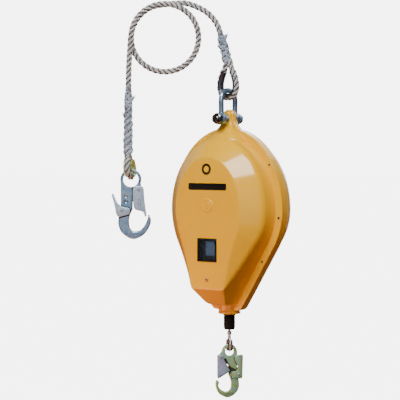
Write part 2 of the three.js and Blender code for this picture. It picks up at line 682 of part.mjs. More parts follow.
// ---------------------------------------------------------------- line end
function addLineEnd() {
  const turnedPlane = new THREE.Group(); // the eye's plane stands across the hook's plane
  turnedPlane.rotation.z = radians(ROPE_TURN + 90 + EYE_SLEW);
  pinGroup.add(turnedPlane);
  const wireTop = -363;
  add('lifeline_wire', uprightRod(WIRE_RADIUS, BUMPER_BOTTOM - 3, wireTop, 12), 'zinc', pinGroup);
  const bore = WIRE_RADIUS + GAP;
  add('bumper', upright([[bore, BUMPER_TOP - 1], [11.2, BUMPER_TOP - 1], [11.2, BUMPER_BOTTOM + 2],
    [9.5, BUMPER_BOTTOM], [bore, BUMPER_BOTTOM], [bore, BUMPER_TOP - 1]]), 'rubber', pinGroup);
  const ferrule = new THREE.Shape();
  ferrule.absellipse(0, 0, 6.5, 4.2, 0, 2 * Math.PI, false, 0);
  const sleeve = new THREE.ExtrudeGeometry(ferrule, { depth: BUMPER_BOTTOM - 3.3 - FERRULE_BOTTOM,
    bevelEnabled: false, curveSegments: 12 }).translate(0, 0, FERRULE_BOTTOM);
  add('ferrule', sleeve, 'zinc', turnedPlane);

  const top = FERRULE_BOTTOM - 3 * GAP;
  const half = [[2.9, 0, top], [3.6, 0, top - 3], [7.2, 0, top - 12], [9, 0, top - 20],
    [6.6, 0, WIRE_EYE_BOTTOM + 2.6]];
  const route = [...half, [0, 0, WIRE_EYE_BOTTOM],
    ...half.map(([x, y, z]) => [-x, y, z]).reverse()];
  add('wire_eye', tube(route, WIRE_RADIUS, 18, 8), 'zinc', turnedPlane);
  const lining = eyeLining(route, WIRE_RADIUS + GAP, WIRE_LINING, 18, 8, FERRULE_BOTTOM - 12);
  add('wire_thimble', lining, 'dark_steel', turnedPlane);
}

// ---------------------------------------------------------------- hooks
// Each hook is drawn with its ring's centre at the origin and its gate on the +X side.
// `size` scales the drawing, `side` mirrors it, and the ring has its own radii.
const LARGE_HOOK = {
  size: 1, side: 1, ringOuter: 20.5, ringInner: 14.8, halfDepth: 6, finish: 'zinc',
  gatePin: [15.2, -19.4], leverPin: [-17.5, -60.5],
  shoulder: [[11, -25], [20, -20], [19.5, -4], [10, 6]],
  nose: [[36.5, -91], [39, -78], [34.5, -68.5]], noseFoot: [32.2, -76.5],
  gate: [[6, -13], [22, -13], [25, -18], [26.2, -40], [30.6, -71], [27.5, -73],
    [24.5, -63], [6.5, -58.5], [3.8, -40], [3.8, -18]],
  gateHollow: [[-2, -5], [22.2, -5], [22.8, -18], [24, -40], [26.8, -62], [22, -80], [-2, -70]],
  lever: [[-1.5, -56.5], [-2.5, -68], [-25, -73.5], [-29, -66], [-31, -52], [-37.5, -29],
    [-34.5, -27], [-28.5, -42], [-22, -52]],
  leverHollow: [[10, -40], [-21, -40], [-27.8, -57], [-26.4, -65], [-24.4, -80], [10, -80]],
};
const SMALL_HOOK = {
  size: 0.775, side: -1, ringOuter: 15, ringInner: 8, halfDepth: 4, finish: 'chromate',
  gatePin: [22.1, -14.8], leverPin: [-24.4, -56.4],
  shoulder: [[11, -30], [27, -20], [26.5, -8], [14, 8]],
  nose: [[34, -92], [35.5, -80], [33.5, -71.5]], noseFoot: [25.5, -77.5],
  gate: [[14.6, -8.5], [31, -8.5], [31, -64], [27.5, -68.5], [8.3, -56.4], [-1.8, -48.8],
    [14.6, -18]],
  gateHollow: [[-10, -2], [28.8, -2], [28.8, -64], [20, -80], [-10, -70]],
  lever: [[-13, -11], [-34.5, -8.5], [-33.2, -64], [-30, -67.7], [-6.8, -67.7], [-4.3, -50],
    [-16.9, -48.3], [-21.9, -38.7], [-14, -21]],
  leverHollow: [[10, 0], [-32.2, 0], [-31, -63], [-28, -80], [10, -80]],
};

function hookBody({ size, side, ringOuter, ringInner, halfDepth, shoulder, nose, noseFoot,
  gatePin, leverPin }) {
  const shape = new THREE.Shape();
  const p = ([x, z]) => new THREE.Vector2(x * size * side, z * size);
  const through = (points) => shape.splineThru(points.map(p));
  const straight = (points) => points.map(p).forEach(({ x, y }) => shape.lineTo(x, y));
  const start = p([-19.6, 0]);
  shape.moveTo(start.x, start.y);
  straight([[-19.6, -54], [-24, -72]]);
  through([[-24.2, -90], [-15.5, -106], [4, -116.4], [25, -107.5], ...nose]);
  through([noseFoot, [28, -87], [21, -96.5], [13, -101]]);
  straight([[4, -101]]); // the flat bearing land
  through([[-1.5, -94.5], [-3.6, -82], [-1.5, -69], [3.5, -58]]);
  straight([[3.5, -32], ...shoulder, [-12, 8]]);
  const forged = plate(shape, -halfDepth, halfDepth, 5);
  const eye = rod(ringOuter, -halfDepth * 0.65, halfDepth * 0.65, 28);
  const bores = [gatePin, leverPin].map(([x, z]) => pinHole(x, z, size, side));
  return cut(join(forged, eye), rod(ringInner, -20, 20, 28), ...bores);
}

function pinHole(x, z, size, side) {
  return at(rod(PIN_RADIUS * size + GAP, -20, 20, 12), x * size * side, 0, z * size);
}

// A folded channel: two cheeks outside the body, joined by a web along one edge.
function channel(cheek, hollow, inside, wall, size, side) {
  const scaled = (points) => outline(points.map(([x, z]) => [x * size * side, z * size]));
  const outside = inside + wall;
  return cut(plate(scaled(cheek), -outside, outside), plate(scaled(hollow), -inside, inside));
}

function addHook(prefix, spec, parent) {
  const { size, side, halfDepth, finish } = spec;
  add(`${prefix}_hook_body`, hookBody(spec), finish, parent);
  const wall = CHEEK_WALL * size;
  const addFolded = (name, pinName, cheek, hollow, pin, inside) => {
    const folded = channel(cheek, hollow, inside, wall, size, side);
    add(`${prefix}_${name}`, cut(folded, pinHole(...pin, size, side)), finish, parent);
    const end = inside + wall + 1;
    const rivet = rod(PIN_RADIUS * size, -end, end, 12);
    add(`${prefix}_${pinName}`, at(rivet, pin[0] * size * side, 0, pin[1] * size), 'steel',
      parent);
  };
  const inside = halfDepth + GAP;
  addFolded('gate', 'gate_pin', spec.gate, spec.gateHollow, spec.gatePin, inside);
  addFolded('lock_lever', 'lever_pin', spec.lever, spec.leverHollow, spec.leverPin,
    inside + wall + GAP);
}

function addHooks() {
  const anchor = new THREE.Group();
  anchor.position.set(...LOWER_EYE_BOTTOM);
  anchor.position.z += ROPE_RADIUS + THIMBLE_WALL + GAP + RING_PLAY - LARGE_HOOK.ringInner;
  ropePlane.add(anchor);
  addHook('anchor', LARGE_HOOK, anchor);

  const harness = new THREE.Group();
  harness.rotation.z = radians(ROPE_TURN);
  harness.position.z = WIRE_EYE_BOTTOM + WIRE_RADIUS + WIRE_LINING + SMALL_RING_PLAY
    - SMALL_HOOK.ringInner;
  pinGroup.add(harness);
  addHook('harness', SMALL_HOOK, harness);
}

addLanyard();
addShackle();
addHousing();
addInside();
addLineEnd();
addHooks();

export default model;
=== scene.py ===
"""Looks of a self retracting lifeline on its rope lanyard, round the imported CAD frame.

Shapes are made in millimetres at their part's own place (HOUSING, SHACKLE, ...), and that
place's matrix brings them to the frame's metres. Rope, splices and wire are made in metres.
"""
from math import atan2, copysign, cos, hypot, pi, radians, sin, sqrt

import bmesh
import bpy
import numpy as np
from mathutils import Matrix, Vector
from numpy.linalg import norm

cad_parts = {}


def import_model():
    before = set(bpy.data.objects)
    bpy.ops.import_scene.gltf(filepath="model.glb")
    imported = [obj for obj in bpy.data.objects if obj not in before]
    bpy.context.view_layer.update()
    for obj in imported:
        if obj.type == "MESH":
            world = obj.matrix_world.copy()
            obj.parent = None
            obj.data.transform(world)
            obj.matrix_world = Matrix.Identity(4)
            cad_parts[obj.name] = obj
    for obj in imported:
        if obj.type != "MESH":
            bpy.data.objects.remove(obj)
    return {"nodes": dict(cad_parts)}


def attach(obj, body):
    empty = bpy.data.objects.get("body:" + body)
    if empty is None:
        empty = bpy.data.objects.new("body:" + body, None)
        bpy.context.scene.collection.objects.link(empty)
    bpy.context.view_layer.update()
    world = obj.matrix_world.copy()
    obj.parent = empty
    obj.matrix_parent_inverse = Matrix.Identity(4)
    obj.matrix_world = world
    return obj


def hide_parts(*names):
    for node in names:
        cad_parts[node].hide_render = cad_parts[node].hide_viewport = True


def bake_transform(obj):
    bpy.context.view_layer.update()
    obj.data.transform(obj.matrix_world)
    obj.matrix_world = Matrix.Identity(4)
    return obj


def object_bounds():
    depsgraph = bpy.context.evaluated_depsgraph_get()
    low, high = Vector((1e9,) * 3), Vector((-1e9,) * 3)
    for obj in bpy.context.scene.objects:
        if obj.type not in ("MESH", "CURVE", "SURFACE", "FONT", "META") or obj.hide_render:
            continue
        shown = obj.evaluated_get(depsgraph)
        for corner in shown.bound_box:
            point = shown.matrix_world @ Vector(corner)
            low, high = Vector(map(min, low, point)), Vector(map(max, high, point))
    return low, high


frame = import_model()
CAD_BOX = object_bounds()


# ------------------------------------------------------------------ places, in millimetres
TURN = radians(38)  # the rope's plane against the housing's front
WIRE_TURN = radians(101)  # the wire's eye against the rope's plane
LOWER_EYE_TURN = radians(75)
GAP = 0.3  # play of moving parts
ROPE_RADIUS, ROPE_THIMBLE = 6.0, 1.7  # radius, and wall of the thimbles in it
WIRE_RADIUS, WIRE_THIMBLE = 2.5, 1.3
LOOP_RADIUS, LOOP_PITCH = 65.5, 13.5
UPPER_SPLICE_END = (107.5, -1, -50)
LOWER_SPLICE_START = (-70.4, -8, -150)
LOWER_CROTCH = (-71.6, -8, -286.6)
LOWER_EYE_BOTTOM = (-66, -8, -329.6)
UPPER_CROTCH = 106.3  # over the shackle bolt
UPPER_EYE_RADIUS, LOWER_EYE_RADIUS = 20, 16
BOLT = (125.8, 0, -216.5)  # from the rope's origin
SHACKLE_SHIFT = -4.5
BOW_ROD, BOW_HALF, BOW_TOP, BOW_CORNER = 5.2, 22, 54.5, 17
FACE_DEPTH = 72
SHAFT_HEIGHT = -166
WIRE_EYE_BOTTOM = -452.1
FERRULE_BOTTOM = -421
LARGE_RING, LARGE_PLAY = 14.8, 2.4  # a hook's ring, and its play in its thimble
SMALL_RING, SMALL_PLAY = 8, 1.8


def turn(angle, axis):
    return Matrix.Rotation(angle, 4, axis)


def shift(x, y, z):
    return Matrix.Translation((x, y, z))


METRES = Matrix.Identity(4)  # the place of what is made in metres
MM = Matrix.Scale(0.001, 4)
ROPE = MM @ turn(TURN, "Z")
PIN = ROPE @ Vector(BOLT)
HOUSING = Matrix.Translation(PIN) @ MM
SHACKLE = HOUSING @ shift(0, SHACKLE_SHIFT, 0)
UPPER_EYE_Z = BOW_TOP - BOW_ROD - 2 * GAP - ROPE_THIMBLE - ROPE_RADIUS
UPPER_EYE_HEIGHT = UPPER_CROTCH - UPPER_EYE_Z
UPPER_EYE = SHACKLE @ shift(0, 0, UPPER_EYE_Z)
EYE_REACH = LOWER_CROTCH[0] - LOWER_EYE_BOTTOM[0], LOWER_CROTCH[2] - LOWER_EYE_BOTTOM[2]
LOWER_EYE_HEIGHT = hypot(*EYE_REACH)
LOWER_EYE = (ROPE @ shift(*LOWER_EYE_BOTTOM) @ turn(atan2(*EYE_REACH), "Y")
             @ turn(LOWER_EYE_TURN, "Z"))
LINE_EYE = HOUSING @ turn(TURN + WIRE_TURN, "Z")
ANCHOR = ROPE @ shift(LOWER_EYE_BOTTOM[0], LOWER_EYE_BOTTOM[1],
                      LOWER_EYE_BOTTOM[2] + ROPE_RADIUS + ROPE_THIMBLE + GAP + LARGE_PLAY
                      - LARGE_RING)
HARNESS = HOUSING @ turn(TURN, "Z") @ shift(
    0, 0, WIRE_EYE_BOTTOM + WIRE_RADIUS + WIRE_THIMBLE + SMALL_PLAY - SMALL_RING)


def world(place, points):
    """Points of one place, as an array in metres."""
    return np.array([place @ Vector(p) for p in points])


def linked(name, data):
    obj = bpy.data.objects.new(name, data)
    bpy.context.collection.objects.link(obj)
    return obj


# ------------------------------------------------------------------ camera, in metres
VIEW_DISTANCE, VIEW_WIDTH = 2.9, 0.78  # from the shackle bolt, and across the picture there
VIEW_TILT = radians(-2)
AIM_ASIDE, AIM_UP = -0.057525, -0.15795  # the picture's middle, from the shackle bolt
SENSOR = 36  # millimetres


def add_camera():
    view = turn(TURN, "Z") @ turn(VIEW_TILT, "X")
    target = PIN + view @ Vector((AIM_ASIDE, 0, 0))
    target.z += AIM_UP
    data = bpy.data.cameras.new("view")
    data.sensor_width = SENSOR
    data.lens = SENSOR * VIEW_DISTANCE / VIEW_WIDTH
    camera = linked("view", data)
    camera.location = target - view @ Vector((0, VIEW_DISTANCE, 0))
    camera.rotation_euler = (view @ turn(pi / 2, "X")).to_euler()
    bpy.context.scene.camera = camera


add_camera()


# ------------------------------------------------------------------ materials
class Finish:
    """A Principled material with procedural nodes, in object coordinates in metres."""

    def __init__(self, name, roughness, metallic=0.0, **sockets):
        self.material = bpy.data.materials.new(name)
        self.material.use_nodes = True
        self.nodes = self.material.node_tree.nodes
        self.shader = self.nodes["Principled BSDF"]
        self.set(self.shader, Roughness=roughness, Metallic=metallic,
                 **{k.replace("_", " "): v for k, v in sockets.items()})
        self.place = self.nodes.new("ShaderNodeTexCoord").outputs["Object"]

    @staticmethod
    def set(node, **values):
        for key, value in values.items():
            node.inputs[key].default_value = value

    def link(self, a, b):
        self.material.node_tree.links.new(a, b)

    def add(self, kind, source, socket, **values):
        """A new node with these values, one of its sockets linked to a source."""
        node = self.nodes.new(f"ShaderNode{kind}")
        self.set(node, **values)
        self.link(source, node.inputs[socket])
        return node

    def noise(self, scale, detail=3.0, rough=0.5, distortion=0.0):
        return self.add("TexNoise", self.place, "Vector", Scale=scale, Detail=detail,
                        Roughness=rough, Distortion=distortion).outputs["Fac"]

    def ramp(self, value, *stops):
        node = self.add("ValToRGB", value, "Fac")
        ramp = node.color_ramp
        while len(ramp.elements) < len(stops):
            ramp.elements.new(0.5)
        for element, (position, color) in zip(ramp.elements, stops):
            element.position = position
            element.color = (*color, 1) if isinstance(color, tuple) else (color,) * 3 + (1,)
        return node.outputs["Color"]

    def mix(self, factor, a, b, how="MIX"):
        node = self.nodes.new("ShaderNodeMix")
        node.data_type = "RGBA"
        node.blend_type = how
        sockets = {socket.identifier: socket for socket in node.inputs}
        for name, value in (("Factor_Float", factor), ("A_Color", a), ("B_Color", b)):
            target = sockets[name]
            if isinstance(value, (int, float)):
                target.default_value = value
            elif isinstance(value, tuple):
                target.default_value = (*value, 1)
            else:
                self.link(value, target)
        return next(o for o in node.outputs if o.identifier == "Result_Color")

    def bump(self, height, distance, strength=1.0, after=None):
        node = self.add("Bump", height, "Height", Distance=distance, Strength=strength)
        if after:
            self.link(after, node.inputs["Normal"])
        self.link(node.outputs["Normal"], self.shader.inputs["Normal"])
        return node.outputs["Normal"]

    def color(self, output):
        self.link(output, self.shader.inputs["Base Color"])

    def rough(self, output):
        self.link(output, self.shader.inputs["Roughness"])


def paint_finish():
    """Glossy paint with small chips in patches."""
    f = Finish("housing_paint", 0.3, Coat_Weight=0.8, Coat_Roughness=0.09, Coat_IOR=1.6,
               Specular_IOR_Level=0.2)
    tone = f.ramp(f.noise(9, 4), (0.3, (0.96, 0.48, 0.0)), (0.7, (1.0, 0.54, 0.0)))
    worn = f.ramp(f.noise(700, 5, 0.7), (0.66, 0.0), (0.74, 1.0))
    f.color(f.mix(f.mix(1.0, worn, f.ramp(f.noise(14), (0.5, 0.0), (0.75, 0.4)), "MULTIPLY"),
                  tone, (0.55, 0.16, 0.012)))
    f.rough(f.ramp(f.noise(60, 4), (0.3, 0.30), (0.7, 0.42)))
    f.bump(f.noise(420, 2), 0.00012, 0.35)
    return f.material


def rope_finish(name, dull, bright):
    """Fibre with fine yarns along each strand, and painted shade in the grooves between strands.
    """
    f = Finish(name, 0.82, Sheen_Weight=0.25, Sheen_Roughness=0.5)
    uv = f.nodes.new("ShaderNodeUVMap")
    uv.uv_map = "along"
    yarn = f.add("TexWave", uv.outputs["UV"], "Vector", Scale=0.36, Distortion=1.2, Detail=2.0,
                 **{"Detail Scale": 1.5})
    yarn.bands_direction = "Y"
    groove = f.nodes.new("ShaderNodeAttribute")
    groove.attribute_name = "groove"
    clean = f.ramp(f.noise(55, 4), (0.3, dull), (0.65, bright))
    lined = f.mix(0.35, clean, yarn.outputs["Color"], "MULTIPLY")
    # painted shade between the strands, driven by the groove attribute
    dark = f.ramp(groove.outputs["Fac"], (0.36, 0.0), (0.85, 1.0))
    f.color(f.mix(dark, lined, (0.06, 0.05, 0.04)))
    rough = f.bump(f.noise(900, 3), 0.0002, 0.5)
    f.bump(yarn.outputs["Fac"], 0.0004, 0.7, rough)
    return f.material


def plated_finish(name, tones, roughness, scale=70.0, metallic=0.9):
    """A plated metal whose tone drifts, with fine tumbling marks."""
    f = Finish(name, roughness, metallic)
    stops = [(0.25 + 0.5 * i / (len(tones) - 1), tone) for i, tone in enumerate(tones)]
    f.color(f.ramp(f.noise(scale, 3, 0.55, distortion=0.6), *stops))
    f.rough(f.ramp(f.noise(160, 4), (0.3, roughness - 0.09), (0.7, roughness + 0.12)))
    f.bump(f.noise(1100, 4, 0.6), 0.0001, 0.35)
    return f.material


def plain_finish(name, low, high, roughness, grain=900.0, depth=0.0001, **extra):
    """A moulded, printed or pressed stuff whose tone drifts between two, with a fine grain."""
    f = Finish(name, roughness, **extra)
    f.color(f.ramp(f.noise(40, 4), (0.35, low), (0.65, high)))
    f.rough(f.ramp(f.noise(120, 3), (0.3, max(roughness - 0.07, 0.02)), (0.7, roughness + 0.08)))
    f.bump(f.noise(grain, 3), depth, 0.3)
    return f.material


def pane_finish():
    f = Finish("clear_pane", 0.06, Transmission_Weight=1.0, IOR=1.18)
    f.color(f.ramp(f.noise(30), (0.3, (0.34, 0.38, 0.43)), (0.7, (0.40, 0.44, 0.50))))
    f.bump(f.noise(90, 2), 0.00005, 0.2)
    return f.material


PAINT = paint_finish()
FIBRE = rope_finish("laid_rope", (0.52, 0.53, 0.56), (0.78, 0.79, 0.82))
TUCKS = rope_finish("spliced_strand", (0.26, 0.36, 0.48), (0.52, 0.63, 0.77))
ZINC = plated_finish("bright_zinc", [(0.16, 0.28, 0.46), (0.30, 0.44, 0.62), (0.48, 0.60, 0.72)],
                     0.32)
SHEET = plated_finish("bright_zinc_sheet", [(0.50, 0.66, 0.90), (0.72, 0.84, 0.96)], 0.36)
CHROMATE = plated_finish("yellow_chromate", [(0.30, 0.56, 0.26), (0.50, 0.72, 0.28),
                                             (0.42, 0.72, 0.50), (0.34, 0.60, 0.50)], 0.36, 95.0)
CHROMATE_SHEET = plated_finish("chromate_sheet", [(0.36, 0.62, 0.44), (0.42, 0.64, 0.80),
                                                  (0.66, 0.58, 0.80), (0.38, 0.72, 0.78)], 0.3,
                               60.0)
DARK = plated_finish("dark_steel", [(0.05, 0.055, 0.065), (0.16, 0.17, 0.19)], 0.3)
CHROME = plated_finish("black_chrome", [(0.16, 0.17, 0.17), (0.34, 0.35, 0.34)], 0.16,
                       metallic=1.0)
PLATE = plain_finish("signal_plate", (0.05, 0.08, 0.13), (0.09, 0.13, 0.19), 0.5)
STEEL = plated_finish("steel", [(0.42, 0.43, 0.44), (0.62, 0.63, 0.64)], 0.3)
WIRE = plated_finish("wire_rope", [(0.46, 0.48, 0.50), (0.70, 0.72, 0.74)], 0.34, 200.0)
ALLOY = plated_finish("drum_alloy", [(0.60, 0.61, 0.62), (0.76, 0.77, 0.78)], 0.42)
BRONZE = plated_finish("bronze", [(0.50, 0.32, 0.12), (0.66, 0.46, 0.2)], 0.36)
PLASTIC = plain_finish("black_plastic", (0.003, 0.003, 0.004), (0.007, 0.007, 0.008), 0.4,
                       Specular_IOR_Level=0.3)
RUBBER = plain_finish("bumper_rubber", (0.002, 0.002, 0.002), (0.005, 0.005, 0.005), 0.6, 500.0,
                      depth=0.0003, Specular_IOR_Level=0.2)
LINING = plain_finish("brake_lining", (0.05, 0.035, 0.025), (0.11, 0.08, 0.06), 0.9, 600.0,
                      depth=0.0004)
INK = plain_finish("black_print", (0.002, 0.002, 0.002), (0.005, 0.005, 0.005), 0.4)
PANE = pane_finish()
# painted shade: a near-black finish laid on the faces of the hooks' grooves, where shade falls
GROOVE_SHADE = plain_finish("groove_grime", (0.012, 0.011, 0.010), (0.03, 0.026, 0.022), 0.7)


# ------------------------------------------------------------------ mesh helpers
def sized(value, where):
    """A size, or a function of where along its way it is."""
    return value(where) if callable(value) else value


def whole_turn(sides):
    return np.linspace(0, 2 * pi, sides, endpoint=False)


def weld(mesh, distance):
    """Join doubled points, and turn the faces outward."""
    bm = bmesh.new()
    bm.from_mesh(mesh)
    bmesh.ops.remove_doubles(bm, verts=bm.verts, dist=distance)
    bmesh.ops.recalc_face_normals(bm, faces=bm.faces)
    bm.to_mesh(mesh)
    bm.free()
    return mesh


def evaluated(obj, *others):
    """The mesh of an object with its modifiers applied; all the objects are removed."""
    mesh = bpy.data.meshes.new_from_object(
        obj.evaluated_get(bpy.context.evaluated_depsgraph_get()))
    for used in (obj, *others):
        bpy.data.objects.remove(used)
    return mesh


def piece(name, part, place, material, body, stands_for="", sharp=32.0, shade_lines=()):
    """One object at a place, that rides on a body and stands for CAD nodes.

    The part is a mesh, or (vertices, faces) and maybe (uv, groove depth). Faces within the radius
    of one of the given (line, radius) pairs, in the part's own units, are painted dark: painted
    shade in grooves.
    """
    if isinstance(part, tuple):
        mesh = bpy.data.meshes.new(name)
        mesh.from_pydata([place @ Vector(v) for v in part[0]], [], part[1])
    else:
        mesh, part = part, ()
        mesh.name = name
        mesh.transform(place)
    if len(part) > 2:
        layer = mesh.uv_layers.new(name="along")
        layer.data.foreach_set("uv", np.asarray(part[2], dtype=np.float32).ravel())
        attribute = mesh.attributes.new("groove", "FLOAT", "POINT")
        attribute.data.foreach_set("value", np.asarray(part[3], dtype=np.float32))
    else:
        weld(mesh, 2e-6)
    mesh.polygons.foreach_set("use_smooth", [True] * len(mesh.polygons))
    mesh.set_sharp_from_angle(angle=radians(sharp))
    mesh.materials.clear()
    mesh.materials.append(material)
    # painted shade: faces near the given lines take the near-black groove finish
    if shade_lines:
        back = place.inverted()
        centres = np.array([back @ p.center for p in mesh.polygons])
        shaded = np.zeros(len(centres), bool)
        for line, radius in shade_lines:
            for p in line:
                shaded |= norm(centres - p, axis=1) < radius
        mesh.materials.append(GROOVE_SHADE)
        mesh.polygons.foreach_set("material_index", shaded.astype(np.int32))
    obj = linked(name, mesh)
    if body:
        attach(obj, body)
    if stands_for:
        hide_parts(*stands_for.split())
    return obj


def merged(*parts):
    """Several (vertices, faces) as one."""
    vertices, faces = [], []
    for some, their in parts:
        start = len(vertices)
        vertices += [tuple(v) for v in some]
        faces += [tuple(i + start for i in face) for face in their]
    return vertices, faces


def moved(part, x=0.0, z=0.0):
    return [(v[0] + x, v[1], v[2] + z) for v in part[0]], part[1]


def spline(points, spacing):
    """Evenly spaced points on a centripetal curve through the given ones."""
    def between(a, b, ta, tb):
        return (tb - t) / (tb - ta) * a + (t - ta) / (tb - ta) * b

    p = np.array(points, float)
    p = np.vstack([2 * p[0] - p[1], p, 2 * p[-1] - p[-2]])
    dense = []
    for i in range(len(p) - 3):
        p0, p1, p2, p3 = p[i:i + 4]
        t1 = norm(p1 - p0) ** 0.5
        t2 = t1 + norm(p2 - p1) ** 0.5
        t3 = t2 + norm(p3 - p2) ** 0.5
        for t in np.linspace(t1, t2, 24, endpoint=False):
            a1, a2, a3 = between(p0, p1, 0, t1), between(p1, p2, t1, t2), between(p2, p3, t2, t3)
            b1, b2 = between(a1, a2, 0, t2), between(a2, a3, t1, t3)
            dense.append(between(b1, b2, t1, t2))
    dense.append(p[-2])
    return evenly(dense, spacing)


def distances(points):
    """How far along a line each of its points is."""
    return np.concatenate([[0], np.cumsum(norm(np.diff(points, axis=0), axis=1))])


def evenly(points, spacing):
    points = np.array(points, float)
    along = distances(points)
    count = max(int(round(along[-1] / spacing)), 2)
    at = np.linspace(0, along[-1], count + 1)
    return np.stack([np.interp(at, along, points[:, k]) for k in range(3)], axis=1)


def frames(points, reference=None):
    """Tangent, normal and binormal at each point, without twist."""
    tangent = np.gradient(points, axis=0)
    tangent /= norm(tangent, axis=1)[:, None]
    if reference is not None:
        normals = np.cross(np.array(reference, float), tangent)
        normals /= norm(normals, axis=1)[:, None]
    else:
        normals = []
        n = np.cross(tangent[0], [0.3, 0.9, 0.2])  # any line across the start
        for t in tangent:
            n = n - t * np.dot(n, t)
            n = n / norm(n)
            normals.append(n)
        normals = np.array(normals)
    return tangent, normals, np.cross(tangent, normals)


def skin(rings, caps=True):
    """Faces between closed rings of equal count, as (vertices, faces)."""
    rows, count = len(rings), len(rings[0])
    vertices = [tuple(p) for ring in rings for p in ring]
    faces = []
    for i in range(rows - 1):
        for j in range(count):
            k = (j + 1) % count
            faces.append((i * count + j, i * count + k, (i + 1) * count + k, (i + 1) * count + j))
    if caps:
        faces.append(tuple(range(count))[::-1])
        faces.append(tuple((rows - 1) * count + j for j in range(count)))
    return vertices, faces


def sweep(points, section, reference=None):
    """A section of (normal, binormal) offsets carried along points."""
    _, normal, binormal = frames(points, reference)
    rings = []
    for i, p in enumerate(points):
        rings.append([p + a * normal[i] + b * binormal[i]
                      for a, b in sized(section, i / (len(points) - 1))])
    return skin(rings)


def around(radius, angles):
    return [(radius * cos(a), radius * sin(a)) for a in angles]


def tube(points, radius, sides=12):
    return sweep(points, lambda t: around(sized(radius, t), whole_turn(sides)))


def channel(points, axis, outer, inner, lip):
    """A rolled channel inside an eye: two arcs of (radius, half angle, count), and a lip."""
    points = np.array(points)
    section = []
    for side, (radius, half, count) in ((1, outer), (-1, inner)):
        section += around(radius, np.radians(np.linspace(-side * half, side * half, count)))
        section += [(a, side * b) for a, b in lip[::side]]
    _, normal, _ = frames(points, axis)
    middle = len(points) // 2
    inward = np.sign(np.dot(normal[middle], points.mean(axis=0) - points[middle]))
    return sweep(points, [(inward * a, b) for a, b in section], axis)


def lobe(centre, strand, offset):
    """How far out the skin of a strand is, at an angle from the strand's middle."""
    return centre * cos(offset) + sqrt(max(strand ** 2 - (centre * sin(offset)) ** 2, 0))


def laid(points, radius, strands, lay, sides, squeeze=0.43, sign=1.0):
    """The skin of twisted strands along points: vertices, faces, uv, groove depth."""
    _, normal, binormal = frames(points)
    along = distances(points)
    half = pi / strands
    angles = whole_turn(sides)
    rings, groove = [], []
    for i, p in enumerate(points):
        r = sized(radius, i / (len(points) - 1))
        # the lobe in front of each angle, measured from its middle
        offsets = [(a - sign * 2 * pi * along[i] / lay) % (2 * half) - half for a in angles]
        rings.append([p + lobe(squeeze * r, (1 - squeeze) * r, offset)
                      * (cos(a) * normal[i] + sin(a) * binormal[i])
                      for a, offset in zip(angles, offsets)])
        groove += [abs(offset) / half for offset in offsets]
    vertices, faces = skin(rings)
    girth = 2 * pi * 1000 * sized(radius, 0.5) / sides
    uv = []
    for u0, u1 in zip(along * 1000, along[1:] * 1000):
        for j in range(sides):
            uv += [(u0, j * girth), (u0, (j + 1) * girth), (u1, (j + 1) * girth), (u1, j * girth)]
    for cap in (range(sides - 1, -1, -1), range(sides)):
        uv += [(0, j * girth) for j in cap]
    return vertices, faces, uv, groove


def lathe(profile, axis="Y", sides=64, first=0.0, last=2 * pi):
    """A profile of (radius, along) turned about an axis; a part turn is closed flat."""
    whole = abs(last - first - 2 * pi) < 1e-6
    steps = sides if whole else max(int(sides * (last - first) / (2 * pi)), 4) + 1
    angles = [first + (last - first) * i / (steps if whole else steps - 1) for i in range(steps)]
    rings = []
    for a in angles:
        c, s = cos(a), sin(a)
        rings.append([(r * c, d, r * s) if axis == "Y" else (r * c, r * s, d) for r, d in profile])
    if whole:
        rings.append(rings[0])
    return skin(rings, caps=not whole)


def eased(corner, a, b, steps):
    """The curve that rounds a corner, from the corner + a to the corner + b."""
    return [corner + a * (1 - t) ** 2 + b * t ** 2 for t in np.linspace(0, 1, steps)]


def rounded(points, radii, steps=5, closed=False):
    """A line of points, 2-D or 3-D, with each corner eased over its radius."""
    p = [np.array(q, float) for q in points]
    radii = list(radii) if hasattr(radii, "__len__") else [radii] * len(p)
    out = []
    for i, corner in enumerate(p):
        if not closed and i in (0, len(p) - 1) or radii[i] <= 0:
            out.append(corner)
            continue
        before, after = p[i - 1] - corner, p[(i + 1) % len(p)] - corner
        la, lb = norm(before), norm(after)
        reach = min(radii[i], 0.48 * la, 0.48 * lb)
        out += eased(corner, before / max(la, 1e-9) * reach, after / max(lb, 1e-9) * reach, steps)
    return out


def slab_mesh(loops, y0, y1, bevel, resolution=3):
    """A plate in X and Z with rounded edges, holes being inner loops; a mesh in millimetres."""
    curve = bpy.data.curves.new("slab", "CURVE")
    curve.dimensions, curve.fill_mode = "2D", "BOTH"
    curve.extrude = (y1 - y0) / 2 - bevel
    curve.bevel_depth, curve.bevel_resolution, curve.offset = bevel, resolution, -bevel
    for loop in loops:
        line = curve.splines.new("POLY")
        line.points.add(len(loop) - 1)
        line.points.foreach_set("co", [v for x, z in loop for v in (x, z, 0, 1)])
        line.use_cyclic_u = True
    mesh = evaluated(linked("slab", curve))
    mesh.transform(shift(0, (y0 + y1) / 2, 0) @ turn(pi / 2, "X"))
    return weld(mesh, 1e-3)


def raw_mesh(part):
    mesh = bpy.data.meshes.new("part")
    mesh.from_pydata([Vector(v) for v in part[0]], [], part[1])
    return weld(mesh, 1e-4)


def combine(base, tools, operation="DIFFERENCE"):
    """Boolean of meshes, or of (vertices, faces), in millimetres."""
    obj, *others = [linked("solid", raw_mesh(solid) if isinstance(solid, tuple) else solid)
                    for solid in (base, *tools)]
    for other in others:
        modifier = obj.modifiers.new("cut", "BOOLEAN")
        modifier.operation, modifier.object, modifier.solver = operation, other, "EXACT"
    return evaluated(obj, *others)


def parts_of(mesh):
    return [tuple(v.co) for v in mesh.vertices], [tuple(p.vertices) for p in mesh.polygons]


def circle(x, z, radius, sides=48):
    return [(x + a, z + b) for a, b in around(radius, [2 * pi * i / sides
                                                       for i in range(sides)])]


